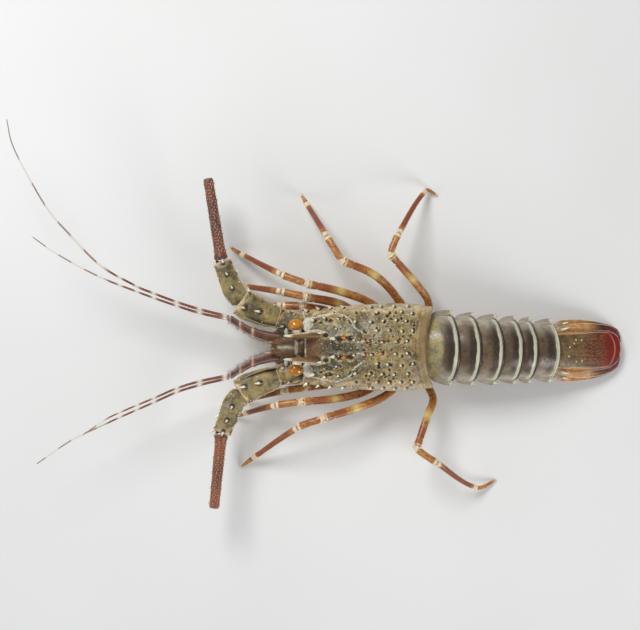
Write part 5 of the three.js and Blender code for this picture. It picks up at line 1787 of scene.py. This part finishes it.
fanShape = {
    "telson": [(77, 0, 22.6, 9.4, 2.6, 1.6), (82, 0, 22.2, 10.6, 2.5, 1.6), (89, 0, 19.6, 11.2, 2, 1.6),
               (97, 0, 16.2, 11.6, 1.3, 1.4), (104, 0, 13, 12, 0.8, 1.2), (111, 0, 9.9, 11.6, 0.7, 0.9),
               (116, 0, 7.9, 9.8, 0.65, 0.6), (119.2, 0, 6.8, 6.6, 0.6, 0.3), (120.5, 0, 6.4, 1.5, 0.4, 0)],
    "inner": [(78.8, 11.2, 18.2, 1.8, 1.6, 0), (83, 11.9, 17.2, 2.9, 1.5, 0.2), (90, 11.1, 14.6, 5, 1.1, 0.5),
              (98, 10.1, 11.4, 6.4, 0.8, 0.6), (106, 9, 8.5, 7, 0.7, 0.5), (113, 8.1, 6, 6.4, 0.65, 0.3),
              (118, 7.4, 4.6, 4.2, 0.6, 0.1), (120.1, 7, 4.2, 1, 0.4, 0)],
    "outer": [(78.6, 14.2, 14.6, 2.4, 2.4, 0), (83, 14.9, 13.8, 3.5, 2.2, 0.2),
              (89, 12.8, 11.6, 6.2, 1.2, 0.8), (96.5, 9.9, 8.6, 8.9, 0.8, 1), (104, 7.9, 6, 9.9, 0.7, 0.8),
              (111, 6.4, 4, 9.6, 0.65, 0.5), (116.5, 5.6, 2.9, 8, 0.6, 0.2), (120, 5.4, 2.4, 5.4, 0.55, 0),
              (121.2, 5.2, 2.3, 1.2, 0.4, 0)],
    "knobs": [(91.5, 6.6), (91.8, -6.4), (90.4, 4.4), (87.6, 2.2), (95.5, -6.2), (95.2, 6.4), (87, -3.2)],
    "drop": 1.9, "ridgesFrom": (92, 98), "ridgesTo": (106, 112), "ridgeHeight": 0.09,
    "ridges": {"telson": 10, "inner": 6, "outer": 8},
}


def ridges(part):
    # fine lengthwise ridges over the rear part
    count = fanShape["ridges"][part]

    def relief(x, across, over):
        come = step(x, *fanShape["ridgesFrom"]) * until(x, *fanShape["ridgesTo"])
        come *= until(abs(across), 0.86, 0.95)
        return fanShape["ridgeHeight"] * np.cos(across * count * math.pi) * np.sign(over) * come
    return relief


def lowerFan(x):
    # the left outer blade lies a little lower than the right one
    return fanShape["drop"] * step(x, 85, 97)


fringeShape = {
    "reach": 0.75, "rows": 110, "hairsInRow": 3, "length": (0.6, 1.0), "radius": 0.035, "end": 121.75,
    "ahead": (-0.1, 0.5), "aside": (-0.4, 0.4), "over": (-0.15, 0.15), "x": (-0.1, 0.1), "y": (-0.15, 0.15),
}


def fringe(name, node, stations, side, drop):
    # short hairs all along the rear edge
    keys = np.array(stations, float)
    x = np.linspace(keys[3, 0] + 6, keys[-1, 0] - 0.15, 60)
    column = [smooth(list(zip(keys[:, 0], keys[:, i])), x) for i in (1, 2, 3)]
    roots = []
    for outer in (1, -1):
        edge = np.stack([x, side * (column[0] + outer * column[2]), column[1] - (drop(x) if drop else 0)], 1)
        line = lineThrough(edge, fringeShape["rows"])
        ahead = np.gradient(line, axis=0)
        for i in range(fringeShape["rows"]):
            for _ in range(fringeShape["hairsInRow"]):
                outward = Vector((ahead[i, 1], -ahead[i, 0], 0)) * (outer * side)
                outward = (-outward if outward.x < 0 else outward).normalized()
                jitter = Vector(drawn(fringeShape, "ahead", "aside", "over"))
                spot = Vector(line[i]) + Vector((*drawn(fringeShape, "x", "y"), 0)) - outward * 0.2
                reach = fringeShape["reach"] * float(mixed(0.45, 1, i / fringeShape["rows"]))
                length = drawn(fringeShape, "length")[0] * min(reach, fringeShape["end"] - spot.x)
                roots.append((spot, outward + jitter, length, fringeShape["radius"], 0))
    hairs = spread(name, hairModel, roots)
    writeMask(hairs, "along", 1)
    setDown(hairs, node, hairFinish)


def tailFan():
    telson = plate("telson_plate", fanShape["telson"], 1, None, 200, 130, ridges("telson"))
    spots = places(telson)
    x, y = spots[:, 0], spots[:, 1]
    edge = readMask(telson, "edge")
    writeMasks(
        telson,
        red=step(x + 2.5 * np.cos(y * 0.3), 91, 106),
        deep=np.clip(0.25 * step(x, 104, 110) + 0.7 * step(x + 4 * abs(y) / 11, 110, 119), 0, 0.95),
        rows=0.8 * step(x, 90, 96) * until(x, 108, 114) * until(edge, 0.8, 0.88),
    )
    inset = bump(edge, 0.9, 0.02) * step(x, 84, 92) * until(x, 111, 115)
    inset = np.maximum(inset, 0.6 * bump(x + 4.5 * (y / 11) ** 2, 117, 0.35) * until(abs(y), 8.5, 10))
    writeMask(telson, "pale", np.clip(0.5 * inset, 0, 1))
    below = step(-np.sin(turnOf(telson)), 0.0, 0.25)
    writeMask(telson, "warm", np.maximum(0.85 * below, step(edge, 0.86, 0.97)) * until(x, 104, 112))
    setDown(telson, "telson", fanFinish)
    knobs = []
    for knobX, knobY in fanShape["knobs"]:
        top = max(spots[np.hypot(x - knobX, y - knobY) < 0.7][:, 2])
        knobs.append((Vector((knobX, knobY, top - 0.15)), Vector((0.3, 0, 1)), 0.55, 0.85, 0))
    knobs = spread("telson_knobs", granuleModel, knobs)
    setDown(knobs, "telson", knobFinish)
    fringe("telson_fringe", "telson", fanShape["telson"], 1, None)
    for letter, side in sides.items():
        for part in ("inner", "outer"):
            node = f"uropod_{part}_{letter}"
            drop = lowerFan if part == "outer" and side < 0 else None
            blade = plate(f"uropod_{part}_plate_{letter}", fanShape[part], side, drop, 110, 120, ridges(part))
            spots = places(blade)
            x = spots[:, 0]
            edge = readMask(blade, "edge")
            outerSide = readMask(blade, "lanes")
            under = step(-np.sin(turnOf(blade)), 0.0, 0.25) if part == "outer" else 0 * x
            writeMasks(
                blade,
                warm=np.clip(step(x, 80, 88), 0, 1),
                red=step(x + 4 * edge, 101, 113),
                belly=under * step(x + 5 * abs(outerSide), 90, 97),
            )
            rim = 0.7 * step(x, 112, 118) * step(edge, 0.4, 0.9)
            rim += 0.6 * step(edge, 0.86, 0.95) * step(x, 108, 114)
            writeMasks(
                blade,
                deep=np.clip(rim + 0.6 * under * step(edge, 0.7, 0.95) * step(x, 96, 106), 0, 0.9),
                rows=0.5 * step(x, 92, 100) * until(edge, 0.75, 0.85),
            )
            pale = 0.95 * step(outerSide, 0.93, 0.99) * until(x, 108, 116)
            pale = np.maximum(pale, 0.5 * until(x, 80, 85))
            pale = np.maximum(pale, 0.45 * bump(edge, 0.55, 0.05) * until(x, 98, 106))
            writeMask(blade, "pale", np.maximum(pale, 0.7 * under * step(edge, 0.95, 0.985)))
            setDown(blade, node, fanFinish)
            rootX, rootY, rootZ, wide = fanShape[part][1][:4]
            dropped = float(lowerFan(rootX)) if drop else 0
            spine = spread(f"uropod_{part}_spine_{letter}", spineModel,
                           [(Vector((rootX + 0.6, side * (rootY + wide * 0.3), rootZ + 0.6 - dropped)),
                             Vector((1, side * 0.3, 0.1)), 4.4, 1.3, 0.2)])
            writeMask(spine, "pale", 0.8)
            setDown(spine, node, spineFinish)
            fringe(f"uropod_{part}_fringe_{letter}", node, fanShape[part], side, drop)


tailFan()
print("the tail fan is done")


# Swimmerets: a bar across the belly of a ring, with a leaf at each end

swimmeretShape = {
    # ring, how far out the leaf's root is, its length and width, and how far it turns inward in degrees
    "pairs": [(2, 13.4, 15.4, 11.6, 20), (3, 14, 18.6, 10.6, 34), (4, 13.6, 17.4, 8.8, 43),
              (5, 13, 15.6, 7.8, 40)],
    "thick": 0.5, "border": 1.1, "bar": (0.9, 0.6), "gap": 1.2, "hang": 0.11, "below": 1.4, "rows": 24,
    "power": 2.4,
}


def veins(angle, lengthwise):
    # low ribs along the leaf's two faces
    return 0.07 * np.cos(np.cos(angle) * 14) * step(abs(np.sin(angle)), 0.3, 0.6)


def swimmerets():
    rows, power = swimmeretShape["rows"], swimmeretShape["power"]
    for ring, reach, length, width, inward in swimmeretShape["pairs"]:
        x = ringSpan(ring - 1)[1] + swimmeretShape["gap"]
        low = float(smooth(tailShape["under"], x))
        fall = (float(smooth(tailShape["under"], x + length)) - low) / length - swimmeretShape["hang"]
        node = f"swimmerets_{ring}"
        wide, high = swimmeretShape["bar"]
        stations = [(x, y, low - 0.4, wide, high) for y in (-reach, 0, reach)]
        bar = tube(f"swimmeret_bar_{ring}", stations, 20, 60, 2.2, rounding=(0.03, 0.03))
        writeMasks(bar, belly=1, pale=0.25)
        setDown(bar, node, tailFinish)
        ahead, across = math.cos(math.radians(inward)), math.sin(math.radians(inward))
        for letter, side in sides.items():
            shares = np.linspace(0, 1, rows)
            half = np.maximum(0.5, np.sin(math.pi * (0.1 + 0.87 * shares ** 0.85)) ** 0.85 * width / 2)
            along = shares * length
            height = low - swimmeretShape["below"] + fall * along * ahead
            stations = np.stack([x - 0.6 + along * ahead, side * (reach - along * across), height, half,
                                 np.full(rows, swimmeretShape["thick"])], 1)
            leaf = tube(f"swimmeret_leaf_{ring}_{letter}", stations, 48, 60, power, veins, (0.04, 0.06))
            alongLeaf = readMask(leaf, "along")
            nearEdge = 1 - abs(np.cos(turnOf(leaf))) ** (2 / power)
            near = nearEdge * np.interp(alongLeaf, shares, half)
            ends = np.minimum(alongLeaf, 1 - alongLeaf) * length
            # the border is wider along the outer edge
            outer = step(side * np.cos(turnOf(leaf)), -0.2, 0.2)
            border = swimmeretShape["border"] * (0.75 + 0.8 * outer)
            writeMask(leaf, "pale", until(np.minimum(near, ends) / border, 0.5, 1))
            setDown(leaf, node, swimmeretFinish)


swimmerets()
for template in (spineModel, granuleModel, hairModel):
    bpy.data.objects.remove(template)
print("the swimmerets are done")


# Floor, light and camera

studio = {"floor": 6.0, "height": 1.09, "lens": 100, "air": 0.27, "airColour": (0.97, 0.98, 1, 1)}
lights = {
    "key_light": {"place": (-0.35, 0.55, 0.85), "size": 0.45, "power": 7.5, "colour": (1, 1, 1)},
    "rim_light": {"place": (0.75, -0.7, 0.5), "size": 0.5, "power": 5.5, "colour": (1, 1, 1)},
    "fill_light": {"place": (-0.85, -0.5, 0.6), "size": 0.7, "power": 2.5, "colour": (0.94, 0.97, 1)},
}
lightAim = Vector((0, 0, 0.02))


def floorMaterial():
    material, tree, shader = newFinish("paleFloor", 0.75)
    cloud = cloudy(tree, 0.25, 0.35, 0.65, detail=2.0)
    cover(tree, shader, blendIn(tree, cloud, tone(226, 226, 224), tone(231, 231, 230)))
    return material


bpy.ops.object.select_all(action="DESELECT")
bpy.ops.mesh.primitive_plane_add(size=studio["floor"])
floor = bpy.context.active_object
floor.name = floor.data.name = "studio_floor"
floor.data.materials.append(floorMaterial())

for name, settings in lights.items():
    turn = (lightAim - Vector(settings["place"])).to_track_quat("-Z", "Y").to_euler()
    bpy.ops.object.light_add(type="AREA", location=settings["place"], rotation=turn)
    light = bpy.context.active_object
    light.name = light.data.name = name
    light.data.shape = "DISK"
    light.data.size = settings["size"]
    light.data.energy = settings["power"]
    light.data.color = settings["colour"]

world = bpy.data.worlds.new("studio_air")
world.use_nodes = True
world.node_tree.nodes["Background"].inputs["Color"].default_value = studio["airColour"]
world.node_tree.nodes["Background"].inputs["Strength"].default_value = studio["air"]
bpy.context.scene.world = world

bpy.ops.object.camera_add(location=(0, 0, studio["height"]), rotation=(0, 0, 0))
camera = bpy.context.active_object
camera.name = camera.data.name = "overhead_camera"
camera.data.lens = studio["lens"]
bpy.context.scene.camera = camera
bpy.context.scene.view_settings.view_transform = "Standard"

print("floor, light and camera are ready")
